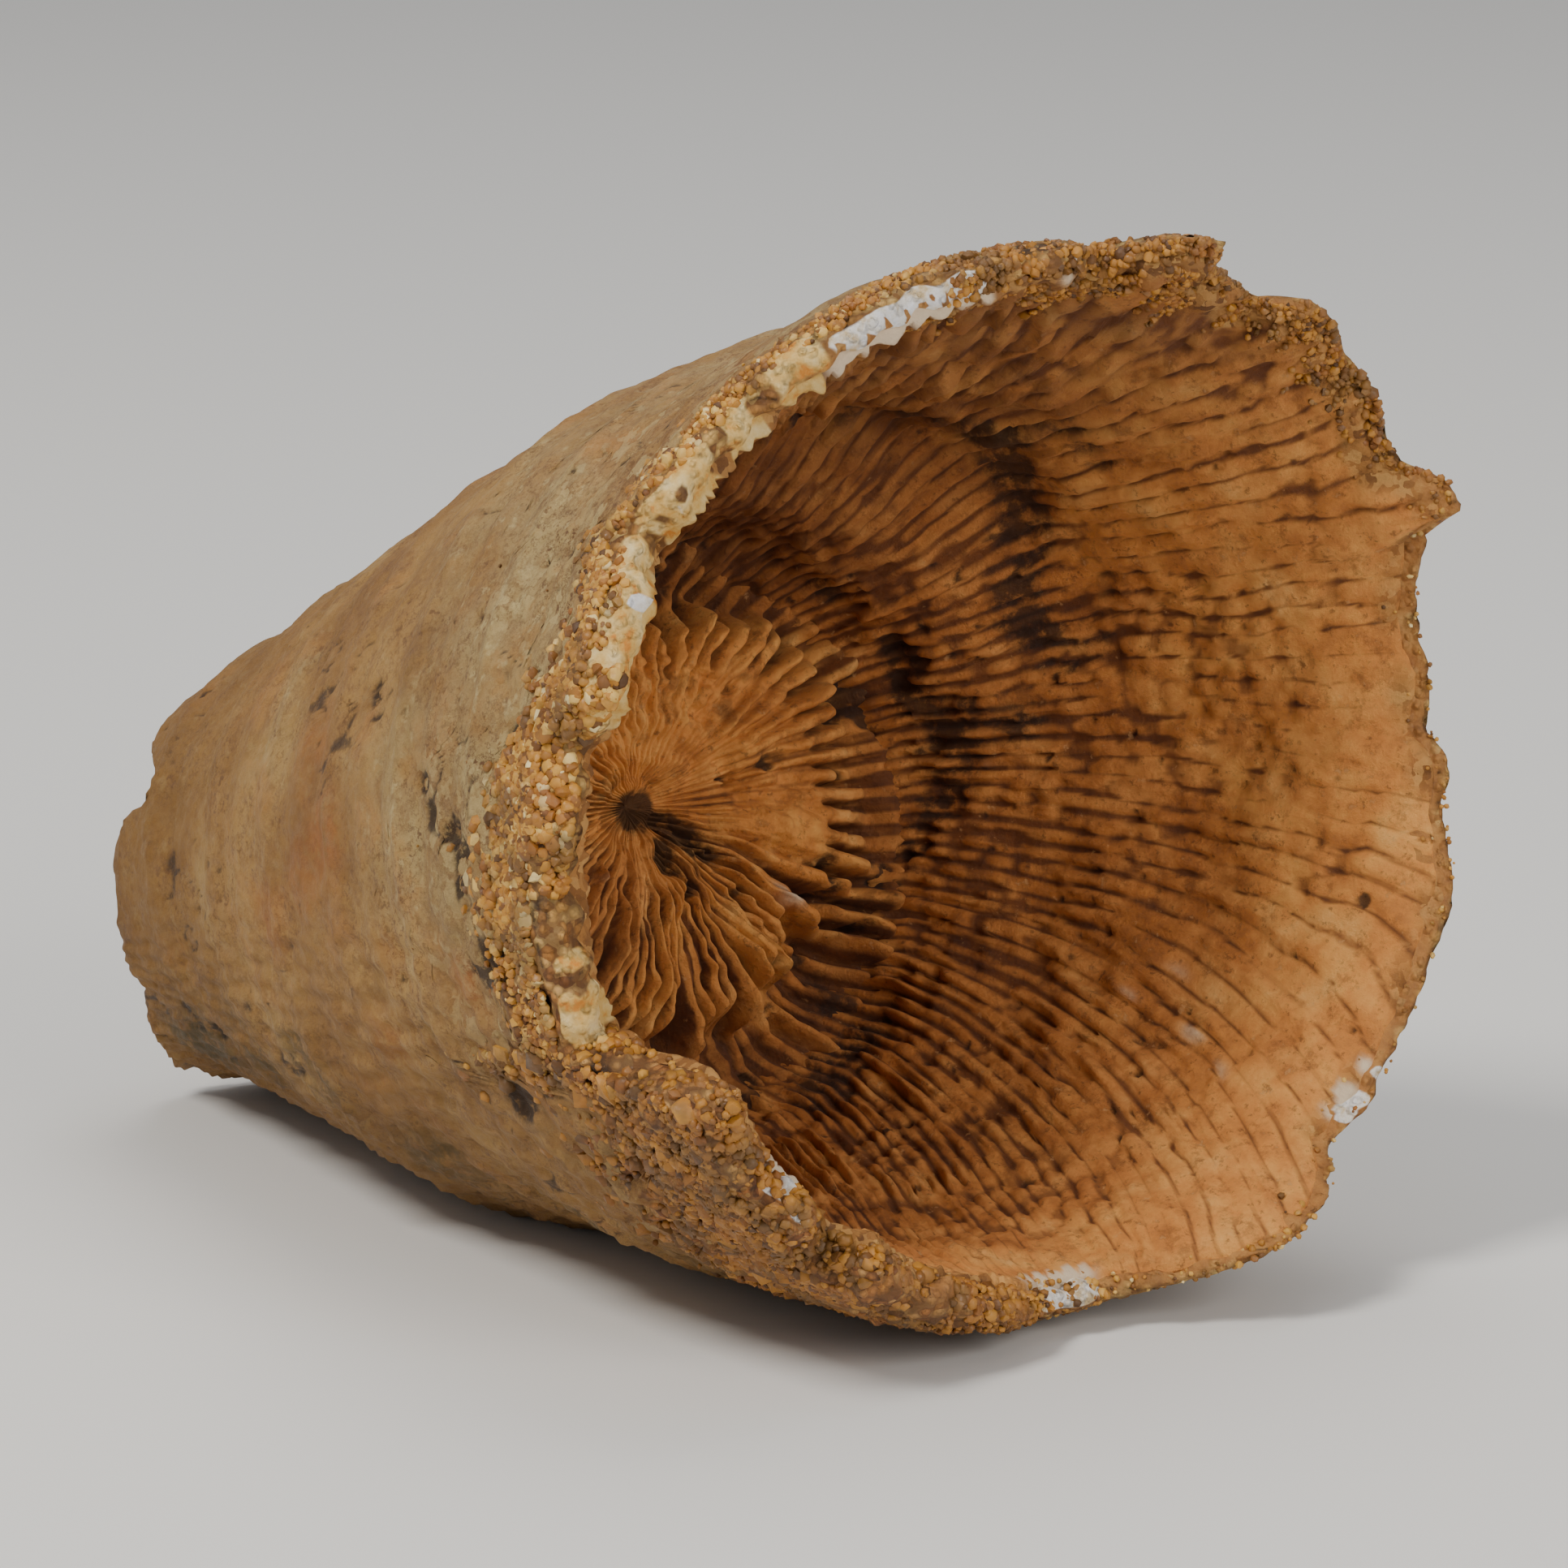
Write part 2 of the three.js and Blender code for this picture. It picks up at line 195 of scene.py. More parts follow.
# noises on top of each other, each: size, height, seed
def layered(points, layers):
    total = 0
    for size, height, seed in layers:
        total = total + height * clouds(points, size, seed)
    return total


# distance to the nearest scattered point, 0 at the point
def cells(points, size, seed=0):
    p = points / size
    base = np.floor(p).astype(np.int64)
    nearest = np.full(len(p), 9.0)
    for dx in (-1, 0, 1):
        for dy in (-1, 0, 1):
            for dz in (-1, 0, 1):
                cell = base + np.array([dx, dy, dz])
                spot = cell + np.stack([cellHash(cell, seed + k) for k in (1, 2, 3)], axis=1)
                nearest = np.minimum(nearest, ((spot - p) ** 2).sum(1))
    return np.sqrt(nearest)


# marks on a surface, each: angle, along, size, strength
def spots(marks, along, angle, radius):
    total = np.zeros_like(along)
    for side, centre, size, strength in marks:
        across = np.radians(turnBetween(angle, side)) * radius
        total += strength * np.exp(-(((along - centre) ** 2 + across**2) / size**2) ** 1.5)
    return total


# to the row frame in metres, where no point leaves the box of the solid
def settle(points):
    boxLow, boxHigh = (np.array(corner) for corner in boundsBefore)
    return np.clip((points + horn["setDown"]) * mm, boxLow, boxHigh)


# a grid rolled up round the axis: place() gives the points and the paint for every angle and v
def rolledPiece(name, columns, rows, place):
    bpy.ops.object.select_all(action="DESELECT")
    bpy.ops.mesh.primitive_grid_add(x_subdivisions=columns, y_subdivisions=rows, size=2)
    piece = bpy.context.object
    piece.name = piece.data.name = name
    flat = np.empty(len(piece.data.vertices) * 3, np.float32)
    piece.data.vertices.foreach_get("co", flat)
    flat = flat.reshape(-1, 3).astype(float)
    u = (flat[:, 0] + 1) / 2
    v = (flat[:, 1] + 1) / 2
    angle = np.where(u > 0.99999, 0.0, u) * 360  # the last column meets the first
    points, paint = place(angle, v)
    piece.data.vertices.foreach_set("co", settle(points).astype(np.float32).ravel())
    for key, values in paint.items():
        layer = piece.data.attributes.new(key, "FLOAT", "POINT")
        layer.data.foreach_set("value", values.astype(np.float32))
    bpy.ops.object.mode_set(mode="EDIT")
    bpy.ops.mesh.select_all(action="SELECT")
    bpy.ops.mesh.remove_doubles(threshold=1e-6)
    bpy.ops.mesh.normals_make_consistent(inside=False)
    bpy.ops.object.mode_set(mode="OBJECT")
    bpy.ops.object.shade_smooth()
    print(name, len(piece.data.vertices), "vertices", len(piece.data.polygons), "faces")
    return piece


# the breaks on the rim, which the wall and the calice share: angle, along, size, strength
rimBreaks = {
    "white": [
        (336, 50.9, 0.6, 0.8), (339, 51.5, 0.8, 1.0), (342, 51.7, 0.9, 1.0), (345, 51.9, 0.9, 1.0),
        (348, 52.0, 0.9, 1.0), (351, 52.1, 0.9, 1.0), (354, 52.1, 0.6, 0.9), (357, 52.1, 0.35, 0.8),
        (300, 47.9, 0.3, 0.9), (302, 48.2, 0.3, 0.8), (312, 48.3, 0.2, 0.7), (228, 48.1, 1.0, 1.0),
        (225, 48.3, 0.6, 0.8), (176, 45.5, 0.8, 1.0), (179, 45.4, 0.9, 1.0), (182, 45.4, 0.7, 0.9),
        (219, 47.0, 0.4, 0.7), (131, 48.7, 0.3, 0.8), (135, 48.3, 0.45, 1.0), (137, 48.1, 0.35, 0.9),
        (8, 53.0, 0.4, 0.6)],
    "cream": [
        (287, 46.8, 1.0, 0.9), (291, 47.6, 1.2, 1.0), (295, 47.8, 1.2, 1.0), (300, 48.0, 1.3, 0.9),
        (305, 47.2, 1.1, 0.8), (311, 47.9, 1.1, 0.9), (317, 48.5, 0.9, 0.9), (324, 49.0, 0.9, 0.8),
        (331, 50.4, 1.2, 0.8), (252, 42.6, 0.7, 0.8), (255, 42.8, 0.6, 0.8), (260, 43.1, 0.5, 0.6)],
}

# marks are angle, along, size, strength
wall = {
    "columns": 560,
    "rows": 168,
    # where the tip's end, the wall and the crest end on the grid; the rest runs back down in the stone
    "tipEnd": 0.09,
    "wallEnd": 0.90,
    "crestEnd": 0.965,
    "edgeRound": 0.25,  # how much the tip's edge is rounded off
    "crestStep": [0, 0.3, 0.55, 0.8, 1],
    "crestRise": [-1.3, -0.4, 0.42, 0.12, -0.9],
    "crestShare": [0, 0.08, 0.38, 0.82, 0.86],  # of the wall's thickness, from the outside
    "backStep": [0, 0.3, 0.7, 0.85, 1],
    "backReach": [0, 0.1, 0.5, 1, 1],
    "backEnd": 22.0,
    "lineSpacing": 1.15,
    "fineSpacing": 0.42,
    "costae": 90,
    "lumpSize": 0.72,
    "knobSize": 1.6,
    "pitDepth": 0.28,
    "holeDepth": 0.12,
    "crackDepth": 0.07,
    "pits": [
        (297, 30.2, 0.55, 1.2), (294, 31.0, 0.35, 0.8), (283, 35.7, 0.5, 1.1), (279, 36.4, 0.4, 0.9),
        (277, 37.8, 0.55, 1.2), (274, 38.3, 0.7, 1.4), (271, 38.0, 0.6, 1.2), (268, 38.4, 0.35, 0.9),
        (262, 39.4, 0.85, 1.1), (243, 6.4, 0.75, 1.3), (240, 8.4, 0.5, 0.9), (243, 36.5, 0.9, 1.1),
        (286, 42.0, 0.6, 1.1), (247, 43.2, 0.8, 0.8), (292, 34.0, 0.3, 0.6), (281, 34.0, 0.25, 0.7),
        (256, 41.5, 0.4, 0.9), (253, 40.2, 0.3, 0.8), (302, 38, 0.3, 0.7), (308, 43, 0.35, 0.8),
        (318, 14, 0.3, 0.6), (255, 17, 0.3, 0.5), (40, 20, 0.6, 0.9), (75, 31, 0.5, 0.8),
        (110, 15, 0.6, 0.9), (140, 37, 0.7, 0.8), (20, 38, 0.45, 0.8)],
    "grey": [
        (290, 40.5, 4.5, 0.9), (268, 38.5, 4.0, 0.9), (280, 34.5, 4.5, 0.7), (306, 40.5, 5.0, 0.8),
        (300, 45, 3.0, 0.6), (325, 36, 5.0, 0.5), (345, 44, 6.0, 0.7), (258, 41, 3.0, 0.5),
        (300, 21, 3.0, 0.4), (60, 25, 6.0, 0.7), (120, 35, 6.0, 0.6), (10, 44, 4.0, 0.6)],
    "rust": [
        (279, 26.7, 1.6, 0.9), (274, 24.0, 1.4, 0.6), (259, 37.1, 0.9, 1.0), (256, 37.4, 0.8, 0.8),
        (290, 25, 1.4, 0.5), (251, 28, 1.4, 0.5), (262, 31.0, 1.2, 0.4), (268, 20, 1.6, 0.4),
        (30, 30, 2.5, 0.6), (160, 28, 2.5, 0.6)],
    "moss": [
        (236, 6.5, 2.2, 1.0), (240, 12, 2.4, 0.8), (240, 19, 2.2, 0.9), (228, 4, 2.0, 0.9),
        (222, 24, 2.6, 0.8), (217, 30.5, 2.4, 0.7), (243, 36.5, 1.2, 0.5), (208, 38, 3.0, 0.6),
        (150, 20, 4.0, 0.5)],
    # how far the crust of grains reaches down from the rim: angle, mm
    "crust": np.array([
        [0, 1.6], [20, 2.4], [60, 1.4], [90, 0.5], [176, 0.6], [190, 6.0], [204, 13.0], [226, 12.0],
        [240, 8.0], [249, 5.0], [258, 4.2], [272, 4.0], [288, 3.8], [297, 2.8], [312, 1.9], [335, 1.4],
        [350, 1.4]]),
}


# from the middle of the tip's end over the wall and the crest, then back down inside the stone
def wallPath(angle, v):
    tipEnd, wallEnd, crestEnd = wall["tipEnd"], wall["wallEnd"], wall["crestEnd"]
    end = clip(v / tipEnd)
    up = np.interp((v - tipEnd) / (wallEnd - tipEnd), [0, 0.42, 1], [0, 0.70, 1])
    crest = clip((v - wallEnd) / (crestEnd - wallEnd))
    back = clip((v - crestEnd) / (1 - crestEnd))

    # about where each point will be, for the noise that roughens the edges
    rough = onAxis(np.interp(v, [0, tipEnd, wallEnd, 1], [0, 0, 45, 52]), 8 + 10 * v, angle)
    ragged = clouds(rough, 1.1, 5)
    rim = around(horn["rim"], angle) + 0.3 * ragged + 0.18 * clouds(rough, 0.5, 6)
    tip = around(horn["tip"], angle) + 0.15 * ragged

    tipAlong = blend(horn["tipMiddle"], tip, end**2)
    tipRadius = end * outerRadius(tip, angle) - wall["edgeRound"] * end
    wallAlong = blend(tip, rim + wall["crestRise"][0], up)
    wallRadius = outerRadius(wallAlong, angle) - wall["edgeRound"] * (1 - smooth(0, 0.5, wallAlong - tip))
    crestAlong = rim + np.interp(crest, wall["crestStep"], wall["crestRise"])
    share = np.interp(crest, wall["crestStep"], wall["crestShare"])
    scallop = np.cos(np.radians(angle) * horn["septa"] + 2 * clouds(rough, 2.0, 7))
    share = share + 0.07 * scallop * smooth(0.4, 0.7, crest) * smooth(1.0, 0.9, crest)
    crestRadius = blend(outerRadius(crestAlong, angle), innerRadius(crestAlong, angle), share)
    backReach = np.interp(back, wall["backStep"], wall["backReach"])
    backAlong = blend(rim + wall["crestRise"][-1], wall["backEnd"], backReach)
    inner, outer = innerRadius(backAlong, angle), outerRadius(backAlong, angle)
    hidden = blend(blend(outer, inner, wall["crestShare"][-1]), outer - 0.35, smooth(0, 0.25, back))
    backRadius = hidden * (1 - smooth(0.8, 1, back))

    # relief goes along the surface's own normal, which leans over the crest and on the tip's end
    zones = [v <= tipEnd, v <= wallEnd, v <= crestEnd]
    crestLean = np.interp(crest, [0, 0.5, 1], [0, 1, 0.3])
    crestOut = np.interp(crest, [0, 0.5, 1], [1, 0.1, -0.7])
    return SimpleNamespace(
        along=np.select(zones, [tipAlong, wallAlong, crestAlong], backAlong),
        radius=np.select(zones, [tipRadius, wallRadius, crestRadius], backRadius),
        lean=np.select(zones, [blend(-1.0, -0.3, end**4), np.zeros_like(v), crestLean], 0),
        outward=np.select(zones, [end**4 * 0.7, np.ones_like(v), crestOut], 0),
        rim=rim, tip=tip, rough=rough, crest=crest, seen=back <= 0, nearTip=v < 0.3)


# which parts of the wall are underside, crust by the rim, lower crust, or the side by the near rim
def wallZones(path, angle, stone):
    under = smooth(75, 35, turnBetween(angle, 200)) + 0.8 * smooth(50, 20, turnBetween(angle, 235))
    below = path.rim - path.along + 1.1 * clouds(stone, 1.7, 36) + 0.5 * clouds(stone, 0.6, 37)
    reach = around(wall["crust"], angle)
    return SimpleNamespace(
        under=clip(under),
        nearRim=smooth(reach, 0.4 * reach, below) * (path.along > 20),
        lower=smooth(50, 25, turnBetween(angle, 222)),
        nearSide=smooth(95, 60, turnBetween(angle, 270)) * smooth(14, 6, path.rim - path.along))


# growth lines, lumps of crust, pits and cracks; gives the relief and how dark the pits are
def wallRelief(path, zone, angle, stone):
    along = path.along
    warp = clouds(stone, 7, 11)
    lines = np.sin(2 * math.pi * (along + 0.55 * warp) / wall["lineSpacing"])
    fine = np.sin(2 * math.pi * (along + 0.3 * warp) / wall["fineSpacing"])
    relief = 0.05 * (lines * (0.6 + 0.6 * clouds(stone, 5, 12)))
    relief += 0.02 * (fine * (0.5 + 0.5 * clouds(stone, 3, 13)))
    relief += layered(stone, [(5.0, 0.16, 14), (2.1, 0.10, 15), (0.9, 0.06, 16)])
    # the underside has short broken ridges that run up the horn
    costae = np.sin(np.radians(angle) * wall["costae"] + 3.0 * clouds(stone, 2.5, 19))
    relief += zone.under * (layered(stone, [(1.4, 0.12, 17), (0.55, 0.10, 18)]) + 0.05 * costae)
    lumps = np.clip(0.62 - cells(stone, wall["lumpSize"], 20), -0.25, 0.5)
    knobs = np.clip(0.6 - cells(stone, wall["knobSize"], 22), -0.1, 0.5)
    crust = (0.30 + 0.16 * zone.lower) * lumps + (0.12 + 0.5 * zone.lower) * knobs
    relief += zone.nearRim * (crust + 0.08 * clouds(stone, 0.5, 21))
    relief -= zone.nearRim * (0.16 + 0.18 * zone.lower)
    cobble = np.clip(0.5 - cells(stone, 1.2, 38), -0.2, 0.5)
    relief += 0.16 * zone.nearSide * (1 - zone.nearRim) * cobble
    holed = smooth(0.1, 0.4, clouds(stone, 5, 25) + 0.35 * zone.nearSide)
    holes = smooth(0.22, 0.08, cells(stone, 1.5, 24)) * holed
    cracked = smooth(0.1, 0.5, clouds(stone, 3.5, 29) + 0.25 * zone.under)
    cracks = smooth(0.10, 0.02, np.abs(clouds(stone, 1.7, 26))) * cracked
    pits = spots(wall["pits"], along, angle, np.maximum(path.radius, 1))
    pits = pits * (0.75 + 0.9 * clouds(stone, 0.5, 39))
    relief -= wall["holeDepth"] * holes + wall["crackDepth"] * cracks + wall["pitDepth"] * clip(pits)
    tipRough = (1 - smooth(0.3, 1.2, along - path.tip)) * path.nearTip
    relief += tipRough * layered(stone, [(1.5, 0.25, 27), (0.6, 0.14, 28)])
    return relief, clip(pits + 0.6 * holes + 0.6 * cracks)


def wallPaint(path, zone, angle, stone, girth):
    along, crest = path.along, path.crest
    warp = clouds(stone, 7, 11)
    ragged = 1.15 + 0.9 * clouds(stone, 0.9, 33)
    farSide = smooth(42, 68, turnBetween(angle, 275)) * smooth(-5, 15, turnBetween(angle, 8))
    # the white break's lower edge is notched by the septa
    notch = 0.5 + 0.5 * np.cos(np.radians(angle) * 2 * horn["septa"] + 2.5 * clouds(path.rough, 1.2, 8))
    jagged = smooth(1.02, 0.9, crest + 0.3 * notch * smooth(50, 30, turnBetween(angle, 346)))
    white = spots(rimBreaks["white"], along, angle, girth) * smooth(0.5, 0.6, crest)
    cream = spots(rimBreaks["cream"], along, angle, girth) * smooth(0.15, 0.4, crest)
    bandPlace = np.stack([along + 0.6 * warp, warp * 0, warp * 0], axis=1)
    return {
        "crust": clip(zone.nearRim * (0.85 + 0.4 * clouds(stone, 1.2, 30))),
        "lower": zone.lower,
        "tip": smooth(24, 4, along + 3 * clouds(stone, 5, 42)),
        "cobble": clip(zone.nearSide * (0.7 + 0.6 * clouds(stone, 2.4, 41))),
        "soil": clip(zone.under * (0.35 + 0.6 * clouds(stone, 2.2, 32))),
        "moss": clip(spots(wall["moss"], along, angle, girth) * (0.9 + 0.9 * clouds(stone, 1.6, 35))),
        "rust": clip(spots(wall["rust"], along, angle, girth) * (0.9 + 0.8 * clouds(stone, 1.8, 40))),
        "fresh": clip(white * ragged * jagged),
        "cream": clip(cream * ragged),
        "inner": smooth(0.45, 0.85, crest) * (0.08 + 0.92 * farSide),
        "band": 0.5 + 0.5 * clouds(bandPlace, 1.9, 34),
        "grey": clip(spots(wall["grey"], along, angle, girth)),
    }


def placeWall(angle, v):
    path = wallPath(angle, v)
    stone = onAxis(path.along, path.radius, angle)
    zone = wallZones(path, angle, stone)
    girth = np.maximum(path.radius, 1)
    relief, pit = wallRelief(path, zone, angle, stone)
    path.along = path.along + path.lean * relief * path.seen
    radius = path.radius + path.outward * relief * path.seen
    paint = wallPaint(path, zone, angle, stone, girth)
    paint["pit"] = pit
    return onAxis(path.along, np.maximum(radius, 0), angle), paint


# each septum's own height, and how far it reaches over the floor's platform
septumHeight = 0.75 + 0.5 * dice.random(horn["septa"])
septumReach = dice.normal(0, 0.45, horn["septa"])

# marks are angle, along, size, strength
calyx = {
    "columns": 1088,
    "rows": 91,
    # where the lip's edge and the wall end on the grid; the rest runs back in the stone
    "lipEnd": 0.04,
    "footEnd": 0.955,
    "foot": 23.6,
    "lipDrop": 0.25,  # from the rim to the lining's edge
    # how far the septa lean as they go outwards: angle, degrees a millimetre
    "lean": np.array([
        [0, -0.7], [25, -0.2], [45, 0.2], [67, 0.45], [90, 0.65], [113, 1.0], [127, 1.4], [145, 1.8],
        [165, 2.1], [180, 1.9], [205, 1.0], [225, 0.3], [250, -0.3], [290, -0.8], [320, -1.0], [340, -1.0]]),
    "leanFrom": 28,  # along, under which they stand straight
    "leanRounds": 14,
    "plainUnder": 24,  # along, under which the lining keeps one radius
    "barSpacing": 0.62,
    "rubbleSize": 0.8,
    "pitDepth": 0.28,
    "ledgeAndStainDepth": 0.22,
    "dotDepth": 0.25,
    # the first nineteen marks, a band from angle 5 to 92, are painted shadow under a growth ledge over a
    # shallow groove; the rest are dark patches lower down
    "ledgeShadowAndStains": [
        (36, 39.5, 1.3, 1.0), (40, 38.2, 1.4, 1.0), (46, 37.4, 1.4, 1.0), (52, 36.4, 1.4, 1.0),
        (58, 35.4, 1.3, 0.9), (64, 34.6, 1.2, 0.8), (70, 34.8, 1.3, 0.7), (38, 42.2, 1.2, 0.8),
        (45, 42.2, 1.1, 0.7), (66, 38.6, 1.3, 0.6), (72, 36.4, 1.4, 0.6), (80, 33.0, 1.4, 0.7),
        (86, 30.4, 1.2, 0.8), (92, 29.0, 1.2, 0.9), (78, 30.5, 1.3, 0.8), (30, 38.6, 1.4, 0.7),
        (22, 38.0, 1.6, 0.6), (14, 37.0, 1.6, 0.6), (5, 36.0, 1.8, 0.6), (145, 27, 1.6, 0.8),
        (155, 28.0, 1.5, 0.8), (164, 32.0, 1.6, 0.5), (135, 28, 1.5, 0.6), (150, 31, 1.5, 0.4),
        (100, 28, 1.3, 0.6), (20, 27.6, 1.0, 0.8), (34, 28.2, 0.8, 0.6), (46, 28.6, 1.0, 0.9),
        (64, 29.6, 1.3, 0.7), (73, 29.0, 1.2, 0.7)],
    "dots": [
        (62, 29.6, 0.55, 1.0), (66, 30.4, 0.4, 0.9), (60, 31.4, 0.4, 0.8), (70, 28.8, 0.5, 0.9),
        (76, 31.6, 0.3, 0.8), (82, 29.4, 0.35, 0.8), (111, 47.0, 0.34, 1.0), (127, 47.4, 0.2, 0.8),
        (96, 46.2, 0.2, 0.6), (104, 43.0, 0.22, 0.6), (118, 44.5, 0.18, 0.6), (132, 44.0, 0.25, 0.5),
        (88, 41.0, 0.25, 0.6), (75, 43.5, 0.22, 0.6), (60, 45.0, 0.3, 0.5), (160, 38.7, 0.4, 0.6)],
    # short white edges of septa
    "whites": [
        (122, 39.5, 0.55, 0.8), (129, 41.3, 0.6, 0.8), (126, 38.0, 0.4, 0.7), (136, 43.0, 0.5, 0.6),
        (88, 31.5, 0.3, 0.7)],
}


# the nearest septum's number, and the distances to it and to the short one beside it, in spacings
def septalPhase(angle, warp):
    turned = angle * horn["septa"] / 360 + warp
    index = np.floor(turned + 0.5).astype(int)
    away = np.abs(turned - index)
    return index % horn["septa"], away, 0.5 - away


# from the lip down to the foot, then behind into the stone, with the grid's columns leaning as the septa do
def calyxPath(turned, v):
    lipEnd, footEnd, foot = calyx["lipEnd"], calyx["footEnd"], calyx["foot"]
    lip = clip(v / lipEnd)
    down = clip((v - lipEnd) / (footEnd - lipEnd))
    back = clip((v - footEnd) / (1 - footEnd))
    rise = np.where(back > 0, np.interp(back, [0, 0.2, 0.6, 1], [0, 0, 0.5, 1]), 1 - down)
    # the lean and the rim's height depend on each other, and settle in a few rounds
    angle = turned
    for attempt in range(calyx["leanRounds"]):
        along = blend(foot, around(horn["rim"], angle) - calyx["lipDrop"], rise)
        angle = turned + around(calyx["lean"], angle) * np.maximum(along - calyx["leanFrom"], 0)
    rim = around(horn["rim"], angle)
    along = blend(foot, rim - calyx["lipDrop"], rise)
    plainAlong = np.maximum(along, calyx["plainUnder"])
    radius = innerRadius(plainAlong, angle)
    thick = outerRadius(plainAlong, angle) - radius
    behind = np.interp(back, [0, 0.2, 0.6, 1], [0, 0.5, 0.5, 0.45]) * thick
    radius = radius + behind + 0.45 * thick * (1 - smooth(0, 1, lip)) * (back <= 0)
    live = smooth(0.35, 1, lip) * (back <= 0)
    return SimpleNamespace(angle=angle, along=along, rim=rim, radius=radius, thick=thick, live=live)


# deep down, the pale outer half, the shaded top, and where the outer half is calmest
def calyxZones(path, stone):
    deep = smooth(46, 30, path.along)
    farSide = smooth(70, 120, path.angle) * (path.angle < 200)
    outer = smooth(36.5, 41.0, path.along + 1.2 * clouds(stone, 2.5, 49) - 3.0 * farSide)
    shaded = smooth(70, 30, turnBetween(path.angle, 0))
    calm = outer * smooth(-0.7, 0.3, clouds(stone, 4.0, 47)) * (1 - shaded)
    return SimpleNamespace(deep=deep, outer=outer, shaded=shaded, calm=calm)


# long and short septa with a broken groove between them, and small bars across the groove
def calyxSepta(path, zone, turned, stone):
    along, deep, shaded = path.along, zone.deep, zone.shaded
    warp = 0.18 * clouds(stone, 4.0, 50) * (1 - 0.6 * deep) + 0.07 * clouds(stone, 1.3, 51)
    index, toLong = septalPhase(turned, warp)[:2]
    toGroove = toLong - 0.25
    stretch = blend(2.3, 1.15, np.maximum(deep, shaded))
    strip = np.stack([along / stretch + index * 3.7, index * 5.3, np.sign(toGroove) * 2.0], axis=1)
    broken = 0.68 + (0.55 + 0.25 * shaded) * clouds(strip, 1.0, 52)
    width = blend(0.068, 0.10, np.maximum(deep, 0.6 * shaded)) * (1 + 0.45 * clouds(strip + 90, 1.2, 45))
    groove = np.exp(-((toGroove / width) ** 2))
    dashed = clouds(strip + 60, 1.6, 53) + 0.35 * deep + 0.22 * zone.outer - 0.1 * zone.calm
    dashes = smooth(-0.3, 0.35, dashed)
    ridges = np.where(toLong < 0.25, septumHeight[index], blend(0.95, 0.6, deep)) * broken
    ridges = ridges * (1 - groove * dashes) * (0.8 + 0.2 * np.cos(toLong * 4 * math.pi))
    rung = np.stack([
        along / calyx["barSpacing"] + index * 9.1, np.sign(toGroove) * 2 + index * 2.0, index * 1.7], axis=1)
    bars = smooth(0.1, 0.6, clouds(rung, 1.0, 54)) * groove
    return SimpleNamespace(
        index=index, toLong=toLong, toGroove=toGroove, strip=strip, broken=broken, groove=groove,
        dashes=dashes, ridges=ridges, bars=bars)


# the septa, worn through in crumbled patches, with pits, stains and the groove and painted shadow under a
# growth ledge; gives the relief and what the paint needs
def calyxRelief(path, zone, septa, stone):
    deep, outer = zone.deep, zone.outer
    height = blend(0.28, 0.62, np.maximum(deep, 0.8 * zone.shaded))
    height = height * (0.9 + 0.45 * clouds(stone, 3, 55)) * (1 - 0.25 * zone.calm)
    relief = height * (septa.ridges + 0.45 * septa.bars - 0.45)
    worn = clouds(stone, 3.2, 44) + 0.3 * clouds(stone, 1.3, 40) + 0.2 * deep - 0.3 * outer
    crumbled = smooth(-0.15, 0.35, worn)
    rubble = np.clip(0.5 - cells(stone, calyx["rubbleSize"], 42), -0.3, 0.4)
    relief = relief * (1 - 0.5 * crumbled) + crumbled * (0.35 * rubble - 0.05)
    relief += layered(stone, [(2.6, 0.16, 56), (0.9, 0.11, 57), (0.4, 0.07, 48)])
    pitted = smooth(-0.1, 0.3, clouds(stone, 3.5, 59) + 0.5 * deep - 0.45 * outer)
    pits = smooth(0.26, 0.10, cells(stone, 1.25, 58)) * pitted
    relief -= calyx["pitDepth"] * pits * (1 - 0.5 * deep)
    # the marks' mask: painted shadow under the growth ledge, and dark patches
    streaked = 0.8 + 0.6 * clouds(septa.strip + 30, 0.9, 60) + 0.5 * septa.groove
    ledgeShadowAndStain = spots(calyx["ledgeShadowAndStains"], path.along, path.angle, path.radius) * streaked
    dots = spots(calyx["dots"], path.along, path.angle, path.radius)
    relief -= calyx["ledgeAndStainDepth"] * clip(ledgeShadowAndStain) + calyx["dotDepth"] * dots
    return relief, SimpleNamespace(crumbled=crumbled, rubble=rubble, pits=pits, ledgeShadowAndStain=ledgeShadowAndStain, dots=dots)


# the white break's lower edge runs down the lining in small teeth, one on each septum
def whiteTeeth(path, toGroove, radius):
    tooth = smooth(0.02, 0.16, np.abs(toGroove))
    reach = smooth(0.38 + 0.45 * tooth, 0.25 + 0.35 * tooth, path.rim - path.along)
    return spots(rimBreaks["white"], path.along + 0.3, path.angle, radius) * reach


